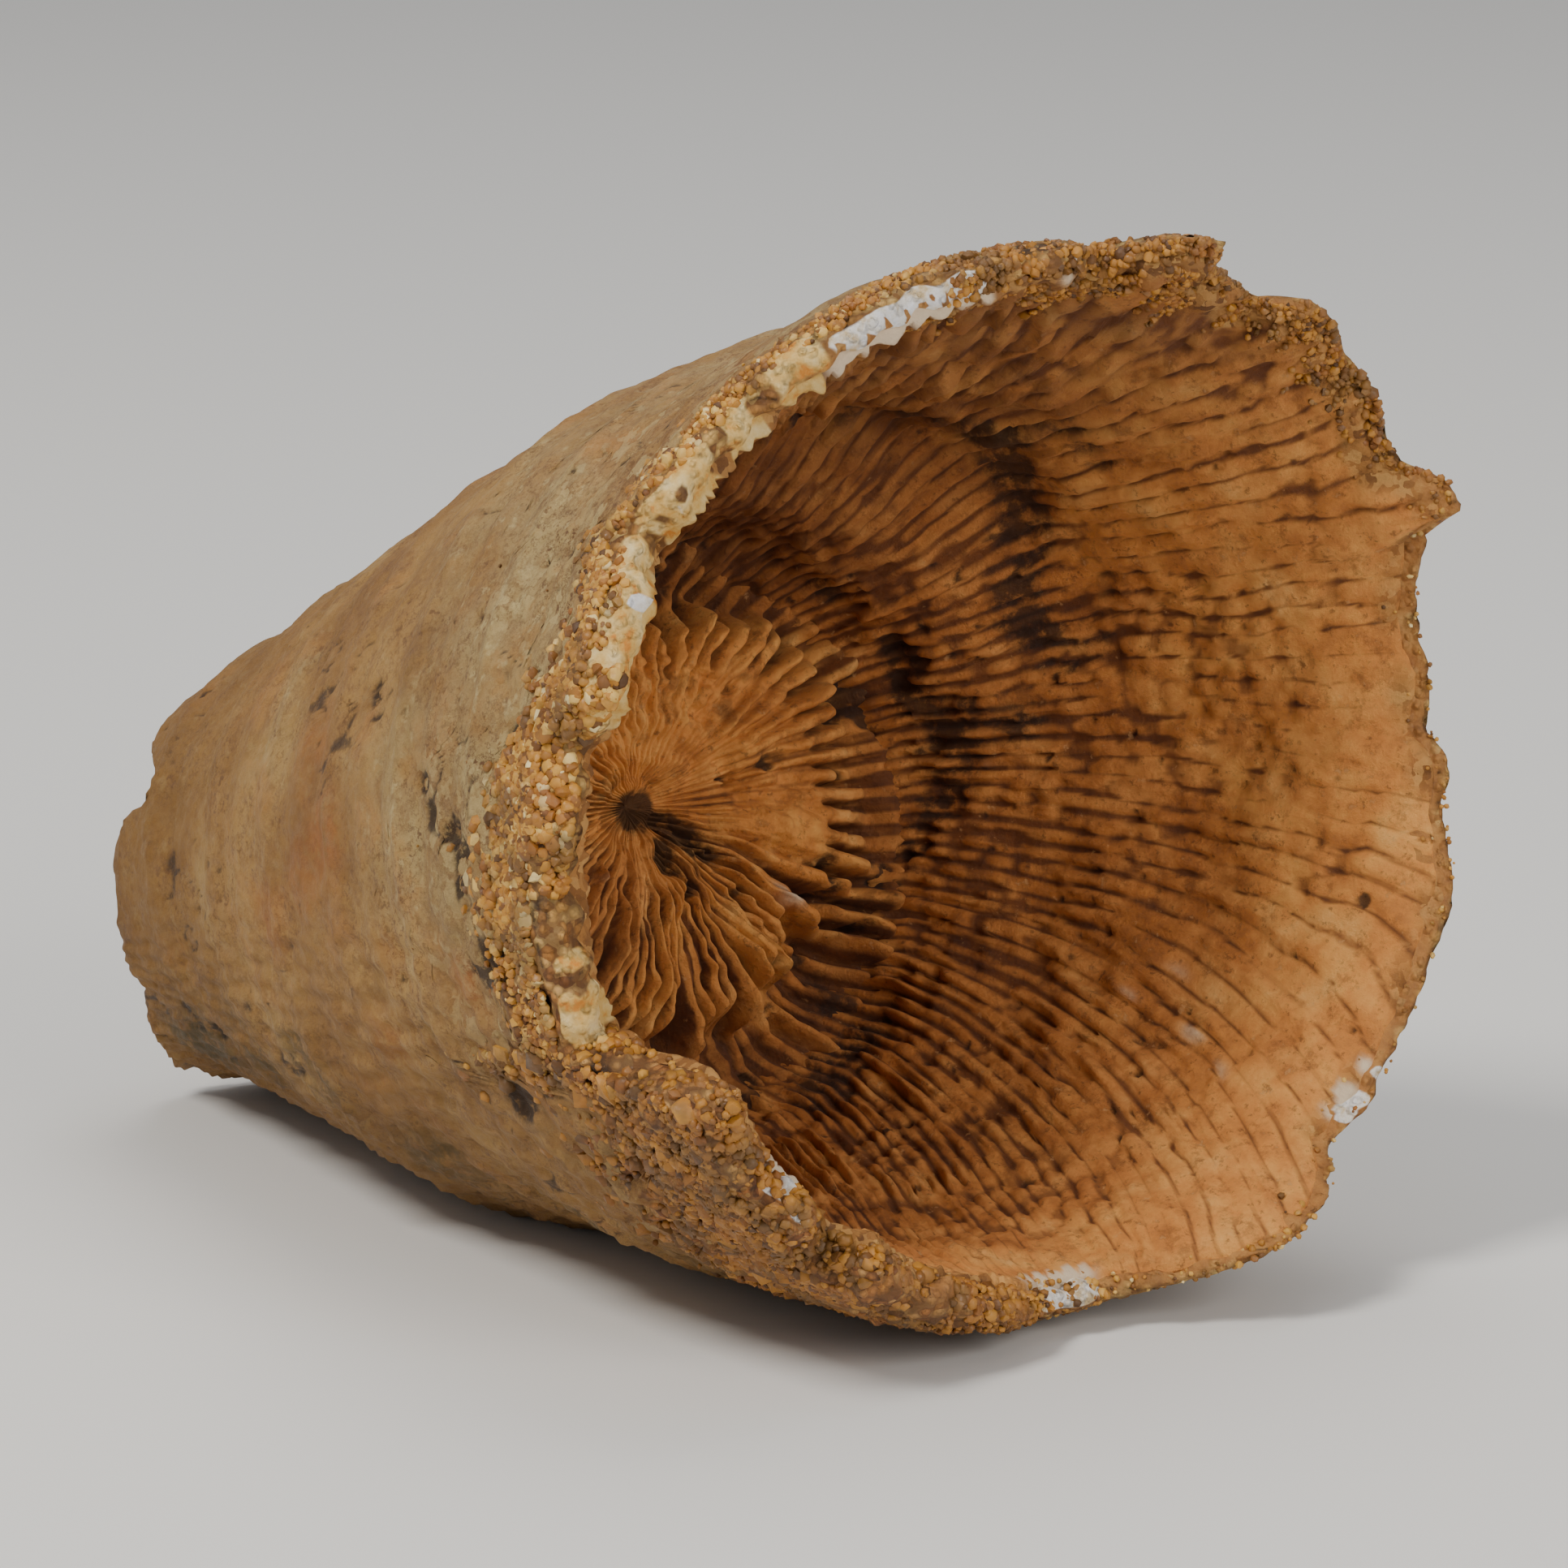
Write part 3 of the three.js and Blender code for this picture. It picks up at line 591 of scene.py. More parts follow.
def calyxPaint(path, zone, septa, worn, stone, girth):
    along, angle, deep, shaded = path.along, path.angle, zone.deep, zone.shaded
    below = path.rim - along
    streak = np.stack([along / 2.2, septa.index * 5.3, np.sign(septa.toGroove) * 2.0], axis=1)
    edged = smooth(0.2, 0.12, septa.toLong) * smooth(-0.2, 0.3, clouds(septa.strip, 0.8, 43))
    whites = spots(calyx["whites"], along, angle, girth) * edged
    creamRagged = smooth(1.3, 0.7, below) * (1.2 + 1.2 * clouds(stone, 0.7, 41))
    # grains lie on the lip at the right, at the top and at the left
    grainy = (0.2 * smooth(60, 40, turnBetween(angle, 70)) + 0.6 * smooth(55, 35, turnBetween(angle, 20))
              + 0.7 * smooth(85, 60, turnBetween(angle, 265)))
    return {
        # painted shade in the grooves between septa, on worn-down ridges deep down and at the top, and
        # between rubble
        "recessShade": clip(septa.groove * septa.dashes * (1 - 0.6 * septa.bars) * blend(0.8, 0.9, deep)
                       + 0.6 * (1 - septa.broken) * np.maximum(deep, shaded)
                       + 0.55 * worn.crumbled * smooth(0.0, -0.25, worn.rubble)),
        # stains, dots and pits, and painted shadow under the growth ledge
        "stainAndShade": clip(0.75 * worn.ledgeShadowAndStain + worn.dots + 0.7 * worn.pits),
        "pale": clip(0.75 * zone.outer + 0.35 * clouds(streak, 1.0, 61) + 0.3 * clouds(stone, 1.6, 62)),
        "fresh": clip(0.9 * whites + 1.6 * whiteTeeth(path, septa.toGroove, girth)),
        "cream": clip(spots(rimBreaks["cream"], along, angle, path.radius) * creamRagged),
        # painted shade: the top of the calice faces down and is darkened
        "paintedShade": clip(smooth(62, 22, turnBetween(angle, 0)) * (0.8 + 0.5 * clouds(streak, 0.8, 39))),
        "crust": smooth(2.0, 0.3, below) * (0.35 + 0.5 * clouds(stone, 1.5, 63) + grainy),
    }


def placeCalyx(turned, v):
    path = calyxPath(turned, v)
    stone = onAxis(path.along, path.radius, path.angle)
    zone = calyxZones(path, stone)
    septa = calyxSepta(path, zone, turned, stone)
    relief, worn = calyxRelief(path, zone, septa, stone)
    girth = path.radius
    path.radius = path.radius - np.maximum(relief, -0.42 * path.thick) * path.live
    paint = calyxPaint(path, zone, septa, worn, stone, girth)
    return onAxis(path.along, path.radius, path.angle), paint


# rises are radius, angle, length, spread, height; along and radius are in mm
floorSizes = {
    "columns": 816,
    "rows": 116,
    "edge": 0.93,  # where the floor ends on the grid; the rest runs down and in, out of sight
    "under": 25.5,  # along, where that rest starts
    "underEnd": 21.8,
    "overlap": 0.5,  # how far the floor runs into the lining
    "along": 26.4,  # of the floor where the trench is filled up
    "wallFoot": 27.2,
    "trench": 25.0,
    "platformRise": 2.3,  # over the trench
    "centreLift": 1.4,  # how far the middle lies above the axis
    # how far the platform reaches: angle, radius
    "platform": np.array([
        [0, 8.0], [18, 8.2], [32, 9.6], [46, 11.0], [60, 11.6], [90, 11.4], [105, 10.2], [116, 7.8],
        [140, 7.6], [165, 7.8], [190, 7.2], [215, 7.6], [260, 8.0], [300, 8.4], [340, 7.6]]),
    # the platform's profile from the middle outwards
    "profileRadius": [0, 0.7, 1.9, 3.4, 5.6, 8.5, 14],
    "profileRise": [-2.3, -2.0, -1.0, -0.5, 0, 0.05, 0.3],
    # how tall the blades stand in the fan at the top and at the sides
    "bladeRadius": [0, 0.8, 2.0, 4.0, 6.5, 9, 12],
    "fanHeight": [0, 0.12, 0.3, 0.4, 0.7, 1.05, 1.0],
    "sideHeight": [0, 0.2, 0.5, 0.85, 1.0, 1.0, 0.8],
    "holeDepth": 0.7,
    "scarDepth": 0.5,
    "scarAngle": 112,
    # broken plates that join several septa
    "flakes": [
        (5.6, 101, 2.6, 9, 0.8), (7.0, 124, 1.5, 6, 0.6), (6.8, 146, 2.6, 7, 0.9), (8.8, 40, 1.6, 5, 0.4)],
    # blocks of broken septa in the trench
    "blocks": [(10.2, 117, 1.8, 9, 1.9), (10.2, 145, 1.4, 6, 0.9), (9.5, 62, 2.0, 12, 0.6)],
    # dark holes: angle, radius, size, strength
    "holes": [
        (67, 11.0, 0.7, 1.0), (69, 11.9, 0.7, 1.0), (74, 11.3, 0.8, 1.0), (71, 10.4, 0.35, 0.9),
        (78, 12.0, 0.4, 0.8), (77, 5.9, 0.32, 1.0), (75, 5.5, 0.25, 0.9), (77, 3.8, 0.25, 0.9),
        (109, 7.9, 0.45, 0.9), (112, 8.5, 0.3, 0.8), (105, 10.9, 0.4, 0.9), (98, 9.4, 0.3, 0.7),
        (127, 8.7, 0.4, 0.8), (84, 8.8, 0.25, 0.7), (61, 9.8, 0.25, 0.6), (116, 1.5, 0.5, 1.0),
        (120, 2.3, 0.38, 1.0), (122, 3.1, 0.28, 0.8), (158, 1.8, 0.42, 0.9), (166, 2.8, 0.3, 0.8),
        (60, 1.3, 0.3, 0.7), (134, 4.6, 0.3, 0.7), (44, 6.4, 0.22, 0.6), (30, 5.2, 0.22, 0.6)],
    "whiteFlake": (6.2, 121, 0.35, 3, 1.2),
}


# holes on the flat floor, each: angle, radius, size, strength
def flatSpots(marks, flat):
    total = np.zeros(len(flat))
    for side, reach, size, strength in marks:
        turn = math.radians(side)
        away = np.hypot(flat[:, 0] - reach * math.cos(turn), flat[:, 1] - reach * math.sin(turn))
        total += strength * np.exp(-((away / size) ** 3))
    return total


# the smooth floor: a platform with a pit in its middle, and the trench round it
def floorPath(angle, v):
    reach = innerRadius(np.full_like(v, floorSizes["wallFoot"]), angle)
    radius = (reach + floorSizes["overlap"]) * clip(v / floorSizes["edge"])
    fade = smooth(1.0, 6.0, radius)
    fan = smooth(75, 45, turnBetween(angle, 15))  # the fan of long septa at the top
    ramp = np.exp(-((turnBetween(angle, 80) / 34) ** 2))  # where the platform runs up the wall
    bend = 4.0 * np.sin(np.radians(angle * 2 + 40)) + 5 * (1 - fan)
    swirl = bend * (1 - smooth(2, 10, radius)) * fade
    turn = np.radians(angle)
    flat = np.stack([radius * np.cos(turn), radius * np.sin(turn), 0 * radius], axis=1)
    warp = (0.26 * clouds(flat, 3.0, 70) + 0.08 * clouds(flat, 1.0, 71)) * fade * (1 - 0.4 * fan)
    index, toLong, toShort = septalPhase(angle, warp + swirl * horn["septa"] / 360)
    edge = around(floorSizes["platform"], angle)
    limit = np.minimum(edge - 0.2 + 1.1 * septumReach[index], reach - 1.6)
    limit = limit - 1.9 * (1 - smooth(0.46, 0.22, toLong))
    clear = 1 - 0.85 * ramp  # how open the trench is
    drop = smooth(-0.35, 1.0, radius - limit)
    platform = np.interp(radius, floorSizes["profileRadius"], floorSizes["profileRise"])
    platform = platform + floorSizes["trench"] + floorSizes["platformRise"]
    trench = floorSizes["along"] - (floorSizes["along"] - floorSizes["trench"]) * clear
    along = blend(platform, trench, drop)
    along += smooth(1.6, 0.0, reach - radius) * 1.3 * drop
    return SimpleNamespace(
        angle=angle, along=along, radius=radius, reach=reach, edge=edge, flat=flat, fan=fan, ramp=ramp,
        clear=clear, drop=drop, index=index, toLong=toLong, toShort=toShort)


# the septa's blades, which plates join and rubble breaks
def floorBlades(path):
    radius, flat, fan, ramp, index = path.radius, path.flat, path.fan, path.ramp, path.index
    strip = np.stack([radius / 1.5 + index * 4.1, index * 6.3, 0 * radius], axis=1)
    wide = 0.36 + 0.06 * clouds(strip + 20, 1.0, 69)
    ridge = np.sqrt(clip(1 - (path.toLong / wide) ** 2)) * septumHeight[index] ** 1.6
    minor = 0.35 * np.exp(-((path.toShort / 0.10) ** 2)) * smooth(7, 9, radius) * (1 - fan)
    joined = clip(bumps(floorSizes["flakes"], radius, path.angle) * 1.4)
    crumbled = smooth(0.0, 0.5, clouds(flat, 2.2, 68) + 0.5 * fan * smooth(7, 4, radius) + 0.6 * ramp - 0.15)
    blades = np.maximum(np.maximum(ridge, minor) * (1 - 0.5 * crumbled), joined)
    jag = blend(0.72, 0.9, fan) + blend(0.6, 0.3, fan) * clouds(strip, 1.0, 73)
    jag = jag + 0.12 * clouds(strip * 3, 1.0, 67)
    fanHeight = np.interp(radius, floorSizes["bladeRadius"], floorSizes["fanHeight"])
    sideHeight = np.interp(radius, floorSizes["bladeRadius"], floorSizes["sideHeight"])
    height = blend(sideHeight, fanHeight, fan)
    height = blend(height * (1 - 0.4 * ramp), 0.8 - 0.4 * ramp, path.drop)
    rung = np.stack([radius / 0.5 + index * 7, index * 3.0, 0 * radius], axis=1)
    bars = smooth(0.1, 0.6, clouds(rung, 1.0, 74)) * (1 - blades) * (0.5 + 0.5 * smooth(8, 5, radius))
    return SimpleNamespace(
        strip=strip, ridge=ridge, joined=joined, crumbled=crumbled, blades=blades,
        jag=blend(jag, 0.95, joined), height=height, bars=bars)


def floorRelief(path, septa, holes, scar):
    flat, radius, angle = path.flat, path.radius, path.angle
    relief = septa.height * (septa.blades * septa.jag - 0.66)
    rubble = np.clip(0.5 - cells(flat, 0.85, 66), -0.3, 0.4)
    flakes = bumps(floorSizes["flakes"], radius, angle)
    relief += 0.45 * septa.height * septa.bars + flakes + septa.crumbled * (0.45 * rubble + 0.1)
    relief += layered(flat, [(2.6, 0.5, 75), (0.9, 0.26, 76), (0.42, 0.15, 72)])
    blocks = bumps(floorSizes["blocks"], radius, angle)
    relief += blocks * (0.3 + 1.1 * septa.ridge) * (0.9 + 0.4 * clouds(flat, 0.9, 77))
    relief -= floorSizes["holeDepth"] * holes + floorSizes["scarDepth"] * scar
    return relief


# holes in the trench and on the ramp, and the listed ones
def darkHoles(path):
    worn = clouds(path.flat, 0.6, 62)
    shift = 0.35 * np.stack([worn, clouds(path.flat, 0.7, 61), 0 * worn], axis=1)
    holes = smooth(0.30, 0.14, cells(path.flat + 1.6 * shift, 1.6, 65) + 0.12 * worn)
    holes *= smooth(0.3, 0.8, 0.4 * path.ramp + 0.7 * path.drop * path.clear) * smooth(1.5, 4, path.radius)
    return clip(holes + 1.3 * flatSpots(floorSizes["holes"], path.flat + shift) * (0.9 + 0.6 * worn))


def floorPaint(path, septa, holes, scar, girth):
    flat, radius, angle, fan, ramp = path.flat, path.radius, path.angle, path.fan, path.ramp
    # painted shade near the foot of the wall
    nearWallShade = smooth(2.8, 0.8, path.reach - girth)
    blocky = clip(bumps(floorSizes["blocks"], girth, angle))
    # painted shade on the cliff where the platform drops into the open trench
    cliffShade = path.drop * path.clear * (1 - 0.8 * blocky)
    middle = smooth(1.25, 0.5, girth * (1.1 + 0.8 * clouds(flat, 0.9, 64)))
    dashes = smooth(-0.4, 0.3, clouds(septa.strip + 50, 1.2, 60))
    lined = np.exp(-(((path.toLong - 0.25) / 0.09) ** 2)) * dashes
    # painted shade between the blades
    between = smooth(0.20, 0.38, path.toLong) * (1 - 0.5 * septa.bars)
    between = between * (1 - 0.5 * septa.crumbled * (1 - path.drop)) * (1 - septa.joined)
    between = between * smooth(1.0, 3.0, radius) * (1 - 0.6 * fan * smooth(9, 6, radius)) * (1 - 0.3 * ramp)
    # painted shade where the blades are torn low
    torn = smooth(0.9, 0.5, septa.jag) * smooth(2, 4, radius) * (1 - 0.4 * ramp)
    # more painted shade on the cliff away from the ramp
    farCliffShade = cliffShade * smooth(30, 60, turnBetween(angle, 78)) * (1.0 + 0.8 * clouds(flat, 1.5, 63))
    # painted highlights on the tops of blades around angle 250
    tipHighlights = smooth(0.25, 0.6, clouds(flat, 0.9, 80)) * smooth(18, 8, turnBetween(angle, 250))
    tipHighlights = tipHighlights * (septa.blades > 0.5) * smooth(2.5, 4, radius)
    return {
        # painted shade between blades, on torn blades, on the cliff and in the grooves near the wall
        "recessShade": clip(between + 0.4 * torn + 0.1 * cliffShade
                       + 0.65 * lined * np.maximum(nearWallShade, 0.5 * ramp * smooth(3, 6, radius))),
        # dark middle, holes, scar and patches, with painted shade on the far cliff
        "stainAndShade": clip(middle + 0.9 * holes + 0.7 * scar + 0.25 * farCliffShade
                      + 0.4 * smooth(0.35, 0.8, clouds(flat, 1.3, 78))),
        # paler on the fan, the plates and the blocks; lowered by painted shade on the cliff and near the wall
        "pale": clip(0.6 + 0.4 * fan + 0.6 * clouds(flat, 2.0, 79) - 0.5 * cliffShade + 0.6 * septa.joined
                     + 0.5 * blocky - 0.45 * nearWallShade - 0.2 * ramp),
        # painted highlights on blade tops, and the white flake
        "fresh": clip(tipHighlights + bumps([floorSizes["whiteFlake"]], radius, angle)),
        # painted shade on the cliff and near the foot of the wall
        "paintedShade": clip(0.2 * cliffShade + 0.25 * nearWallShade * (1 - blocky)),
        "cream": np.zeros_like(radius),
        "crust": np.zeros_like(radius),
    }


def placeFloor(angle, v):
    path = floorPath(angle, v)
    septa = floorBlades(path)
    holes = darkHoles(path)
    scarTurn = turnBetween(angle, floorSizes["scarAngle"] + 4 * path.radius)
    scar = np.exp(-((scarTurn / 13) ** 2)) * smooth(4.4, 2.5, path.radius) * smooth(0.6, 1.4, path.radius)
    relief = floorRelief(path, septa, holes, scar)
    # past its edge the grid runs down and in under the floor
    below = clip((v - floorSizes["edge"]) / (1 - floorSizes["edge"]))
    sunk = below > 0
    lift = floorSizes["centreLift"] * np.maximum(0, 1 - path.radius / path.edge) * (~sunk)
    deeper = np.interp(below, [0, 0.4, 1], [0, 1, 1]) * (floorSizes["underEnd"] - floorSizes["under"])
    inwards = (path.reach + floorSizes["overlap"]) * (1 - smooth(0.3, 1, below))
    girth = path.radius
    path.along = np.where(sunk, deeper + floorSizes["under"], path.along + relief)
    path.radius = np.where(sunk, inwards, path.radius)
    paint = floorPaint(path, septa, holes, scar, girth)
    return onAxis(path.along, path.radius, angle, lift), paint


wallPiece = rolledPiece("horn_wall", wall["columns"], wall["rows"], placeWall)
calyxPiece = rolledPiece("calice_lining", calyx["columns"], calyx["rows"], placeCalyx)
floorPiece = rolledPiece("calice_floor", floorSizes["columns"], floorSizes["rows"], placeFloor)

# crystal grains on the rim and on the crust below it
grainSizes = {
    # angles from, to, how many, share of the wall's thickness from, to, spread below the rim, sizes from, to
    "beds": [
        (264, 293, 980, 0.0, 0.0, 1.45, 0.18, 0.38),
        (268, 292, 420, 0.0, 0.5, 0.3, 0.18, 0.38),
        (250, 264, 320, 0.0, 0.0, 1.3, 0.14, 0.30),
        (293, 318, 560, 0.0, 0.0, 0.8, 0.14, 0.34),
        (293, 345, 380, 0.0, 0.22, 0.5, 0.13, 0.30),
        (318, 352, 560, 0.0, 0.25, 0.45, 0.12, 0.26),
        (200, 250, 1700, 0.0, 0.0, 3.6, 0.12, 0.26),
        (196, 250, 520, 0.0, 0.0, 4.2, 0.28, 0.62),
        (188, 250, 900, 0.0, 0.9, 0.2, 0.13, 0.34),
        (174, 204, 320, 0.0, 0.9, 0.15, 0.11, 0.24),
        (-10, 28, 620, 0.0, 0.9, 0.2, 0.13, 0.26),
        (-12, 27, 480, 1.0, 1.0, 1.2, 0.11, 0.24),
        (14, 27, 160, 1.0, 1.0, 1.3, 0.11, 0.24),
        (27, 60, 420, 0.2, 1.0, 0.35, 0.12, 0.26),
        (33, 52, 200, 0.6, 1.0, 0.8, 0.11, 0.22),
        (58, 70, 120, 0.0, 1.0, 0.4, 0.10, 0.20),
        (70, 188, 150, 0.0, 1.0, 0.0, 0.06, 0.14),
        (150, 190, 120, 0.0, 1.0, 0.3, 0.10, 0.20),
        (0, 360, 120, 0.0, 0.0, 5.0, 0.05, 0.10)],
    "crestShare": [0, 0.08, 0.38, 0.82, 1],
    "crestRise": [-0.9, -0.4, 0.42, 0.15, -0.7],
    "sunk": 0.45,  # of a grain's size, and deeper in the lower crust
    "sharpEdge": 48,  # degrees from which an edge stays sharp
}


def grainBed(sideFrom, sideTo, count, shareFrom, shareTo, spread, small, large):
    side = (sideFrom + (sideTo - sideFrom) * dice.random(count)) % 360
    share = shareFrom + (shareTo - shareFrom) * dice.random(count)
    depth = np.abs(dice.normal(0, 1, count)) * spread
    crest = np.interp(share, grainSizes["crestShare"], grainSizes["crestRise"])
    along = around(horn["rim"], side) + crest - depth
    size = small + (large - small) * dice.random(count) ** 1.6
    sunk = (share < 0.5) * (grainSizes["sunk"] + 0.25 * smooth(38, 26, turnBetween(side, 215)))
    radius = blend(outerRadius(along, side), innerRadius(along, side), share) - size * sunk
    radius += 0.3 * size * (share > 0.9)
    return side, along, radius, size


# the corners and faces of one rounded grain
def plainGrain():
    bpy.ops.object.select_all(action="DESELECT")
    bpy.ops.mesh.primitive_ico_sphere_add(subdivisions=1, radius=1)
    ball = bpy.context.object
    corners = np.array([v.co[:] for v in ball.data.vertices])
    faces = np.array([p.vertices[:] for p in ball.data.polygons])
    bpy.data.objects.remove(ball, do_unlink=True)
    return corners, faces


# all grains joined in one mesh, each turned, stretched and knocked out of shape by chance
def grainPiece(name):
    corners, faces = plainGrain()
    beds = [grainBed(*bed) for bed in grainSizes["beds"]]
    side, along, radius, size = (np.concatenate(values) for values in zip(*beds))
    number = len(side)
    spin = np.linalg.qr(dice.normal(size=(number, 3, 3)))[0]
    stretch = 0.85 + 0.4 * dice.random((number, 1, 3))
    knocked = 1 - 0.22 * dice.random((number, len(corners), 1))
    shapes = np.einsum("nij,nvj->nvi", spin, corners[None] * stretch * knocked) * size[:, None, None]
    points = (shapes + onAxis(along, radius, side)[:, None, :]).reshape(-1, 3)
    allFaces = (faces[None] + (np.arange(number) * len(corners))[:, None, None]).reshape(-1, 3)
    mesh = bpy.data.meshes.new(name)
    mesh.from_pydata(settle(points).tolist(), [], allFaces.tolist())
    piece = bpy.data.objects.new(name, mesh)
    bpy.context.collection.objects.link(piece)
    # darker at the top right and in the lower crust
    shaded = np.maximum(smooth(42, 30, turnBetween(side, 28)), smooth(38, 26, turnBetween(side, 215)))
    tone = np.repeat(dice.random(number) * (1 - 0.45 * shaded), len(corners))
    layer = mesh.attributes.new("tone", "FLOAT", "POINT")
    layer.data.foreach_set("value", tone.astype(np.float32))
    bpy.context.view_layer.objects.active = piece
    piece.select_set(True)
    bpy.ops.object.mode_set(mode="EDIT")
    bpy.ops.mesh.select_all(action="SELECT")
    bpy.ops.mesh.normals_make_consistent(inside=False)
    bpy.ops.object.mode_set(mode="OBJECT")
    bpy.ops.object.shade_smooth_by_angle(angle=math.radians(grainSizes["sharpEdge"]))
    print(name, number, "grains", len(mesh.polygons), "faces")
    return piece


grains = grainPiece("rim_grains")


# one channel of a screen colour, from 0 to 255, made linear
def linear(level):
    share = level / 255
    return ((share + 0.055) / 1.055) ** 2.4 if level > 10 else share / 12.92


def tint(red, green, blue):
    return [linear(red), linear(green), linear(blue), 1.0]


# a material whose nodes are added one by one; colours are given as red, green, blue from 0 to 255
class Look:
    def __init__(self, name, roughness):
        self.material = bpy.data.materials.new(name)
        self.material.use_nodes = True
        self.nodes = self.material.node_tree.nodes
        self.links = self.material.node_tree.links
        self.shader = self.nodes["Principled BSDF"]
        self.shader.inputs["Roughness"].default_value = roughness
        self.place = self.nodes.new("ShaderNodeTexCoord").outputs["Object"]

    def attribute(self, name):
        node = self.nodes.new("ShaderNodeAttribute")
        node.attribute_name = name
        return node.outputs["Fac"]

    def noiseNode(self, size, detail, rough):
        node = self.nodes.new("ShaderNodeTexNoise")
        node.inputs["Scale"].default_value = 1 / (size * mm)
        node.inputs["Detail"].default_value = detail
        node.inputs["Roughness"].default_value = rough
        self.links.new(self.place, node.inputs["Vector"])
        return node

    def noise(self, size, detail=4.0, rough=0.6):
        return self.noiseNode(size, detail, rough).outputs["Fac"]

    # the place moved about by a noise, so that no cell is a plain polygon
    def twisted(self, twist):
        moved = self.nodes.new("ShaderNodeVectorMath")
        moved.operation = "MULTIPLY_ADD"
        moved.inputs[1].default_value = (twist * mm,) * 3
        self.links.new(self.noiseNode(0.7, 3.0, 0.5).outputs["Color"], moved.inputs[0])
        self.links.new(self.place, moved.inputs[2])
        return moved.outputs["Vector"]

    def cells(self, size, output="Distance", twist=0.0):
        node = self.nodes.new("ShaderNodeTexVoronoi")
        node.inputs["Scale"].default_value = 1 / (size * mm)
        self.links.new(self.twisted(twist) if twist else self.place, node.inputs["Vector"])
        return node.outputs[output]

    def span(self, value, low, high, toLow=0.0, toHigh=1.0):
        node = self.nodes.new("ShaderNodeMapRange")
        node.interpolation_type = "SMOOTHSTEP"
        for key, number in (("From Min", low), ("From Max", high), ("To Min", toLow), ("To Max", toHigh)):
            node.inputs[key].default_value = number
        self.links.new(value, node.inputs["Value"])
        return node.outputs["Result"]

    # sets a socket to a value, or links it
    def feed(self, socket, value):
        if isinstance(value, bpy.types.NodeSocket):
            self.links.new(value, socket)
        else:
            socket.default_value = value

    def combine(self, kind, a, b):
        node = self.nodes.new("ShaderNodeMath")
        node.operation = kind
        self.feed(node.inputs[0], a)
        self.feed(node.inputs[1], b)
        return node.outputs["Value"]

    def times(self, a, b):
        return self.combine("MULTIPLY", a, b)

    # each stop: position, colour
    def ramp(self, value, stops):
        node = self.nodes.new("ShaderNodeValToRGB")
        elements = node.color_ramp.elements
        for element, (position, colour) in zip(elements, (stops[0], stops[-1])):
            element.position = position
            element.color = tint(*colour)
        for position, colour in stops[1:-1]:
            elements.new(position).color = tint(*colour)
        self.links.new(value, node.inputs["Fac"])
        return node.outputs["Color"]

    def mix(self, share, a, b):
        node = self.nodes.new("ShaderNodeMix")
        node.data_type = "RGBA"
        sockets = {(socket.name, socket.type): socket for socket in node.inputs}
        self.feed(sockets["Factor", "VALUE"], share)
        for name, colour in (("A", a), ("B", b)):
            self.feed(sockets[name, "RGBA"], tint(*colour) if isinstance(colour, tuple) else colour)
        return [socket for socket in node.outputs if socket.type == "RGBA"][0]

    # lays another colour over this one, as far as where and share say
    def cover(self, colour, where, share, over):
        return self.mix(self.times(where, share), colour, over)

    def bump(self, value, depth, before=None, strength=1.0):
        node = self.nodes.new("ShaderNodeBump")
        node.inputs["Distance"].default_value = depth * mm
        node.inputs["Strength"].default_value = strength
        self.links.new(value, node.inputs["Height"])
        if before is not None:
            self.links.new(before, node.inputs["Normal"])
        return node.outputs["Normal"]

    def finish(self, colour, normal, roughness):
        self.links.new(colour, self.shader.inputs["Base Color"])
        self.links.new(normal, self.shader.inputs["Normal"])
        self.links.new(roughness, self.shader.inputs["Roughness"])
        return self.material


creamStops = [(0.36, (212, 136, 48)), (0.44, (216, 170, 88)), (0.55, (226, 190, 118)), (0.7, (234, 208, 152))]
wallColours = {
    "stone": [(0.3, (118, 82, 38)), (0.45, (148, 109, 56)), (0.58, (166, 127, 70)), (0.75, (180, 146, 88))],
    "warm": (178, 120, 58),
    "grey": (170, 148, 98),
    "band": (140, 98, 50),
    "mottle": (124, 84, 42),
    "tip": (122, 84, 28),
    "lump": (196, 176, 124),
    "speck": (92, 56, 28),
    "seam": (116, 78, 36),
    "pebble": (196, 172, 116),
    "rust": (172, 98, 34),
    "soil": (112, 78, 36),
    "moss": (74, 64, 34),
    "pit": (44, 27, 14),
    "inside": [(0.3, (140, 88, 42)), (0.5, (178, 120, 60)), (0.7, (200, 150, 86))],
    "white": [(0.38, (206, 180, 136)), (0.5, (228, 220, 208)), (0.68, (234, 232, 234))],
}
crustColours = {
    "crystalSize": 0.42,
    "golden": [(0.15, (132, 84, 34)), (0.4, (172, 118, 52)), (0.6, (200, 148, 74)), (0.85, (218, 180, 108))],
    "redder": [(0.15, (118, 68, 30)), (0.4, (164, 104, 50)), (0.6, (188, 124, 62)), (0.85, (204, 154, 90))],
    "tinge": (112, 86, 44),
    "gap": (70, 42, 18),
}


def creamOver(look, colour):
    cream = look.ramp(look.noise(0.9, 5), creamStops)
    return look.mix(look.span(look.attribute("cream"), 0.35, 0.55), colour, cream)


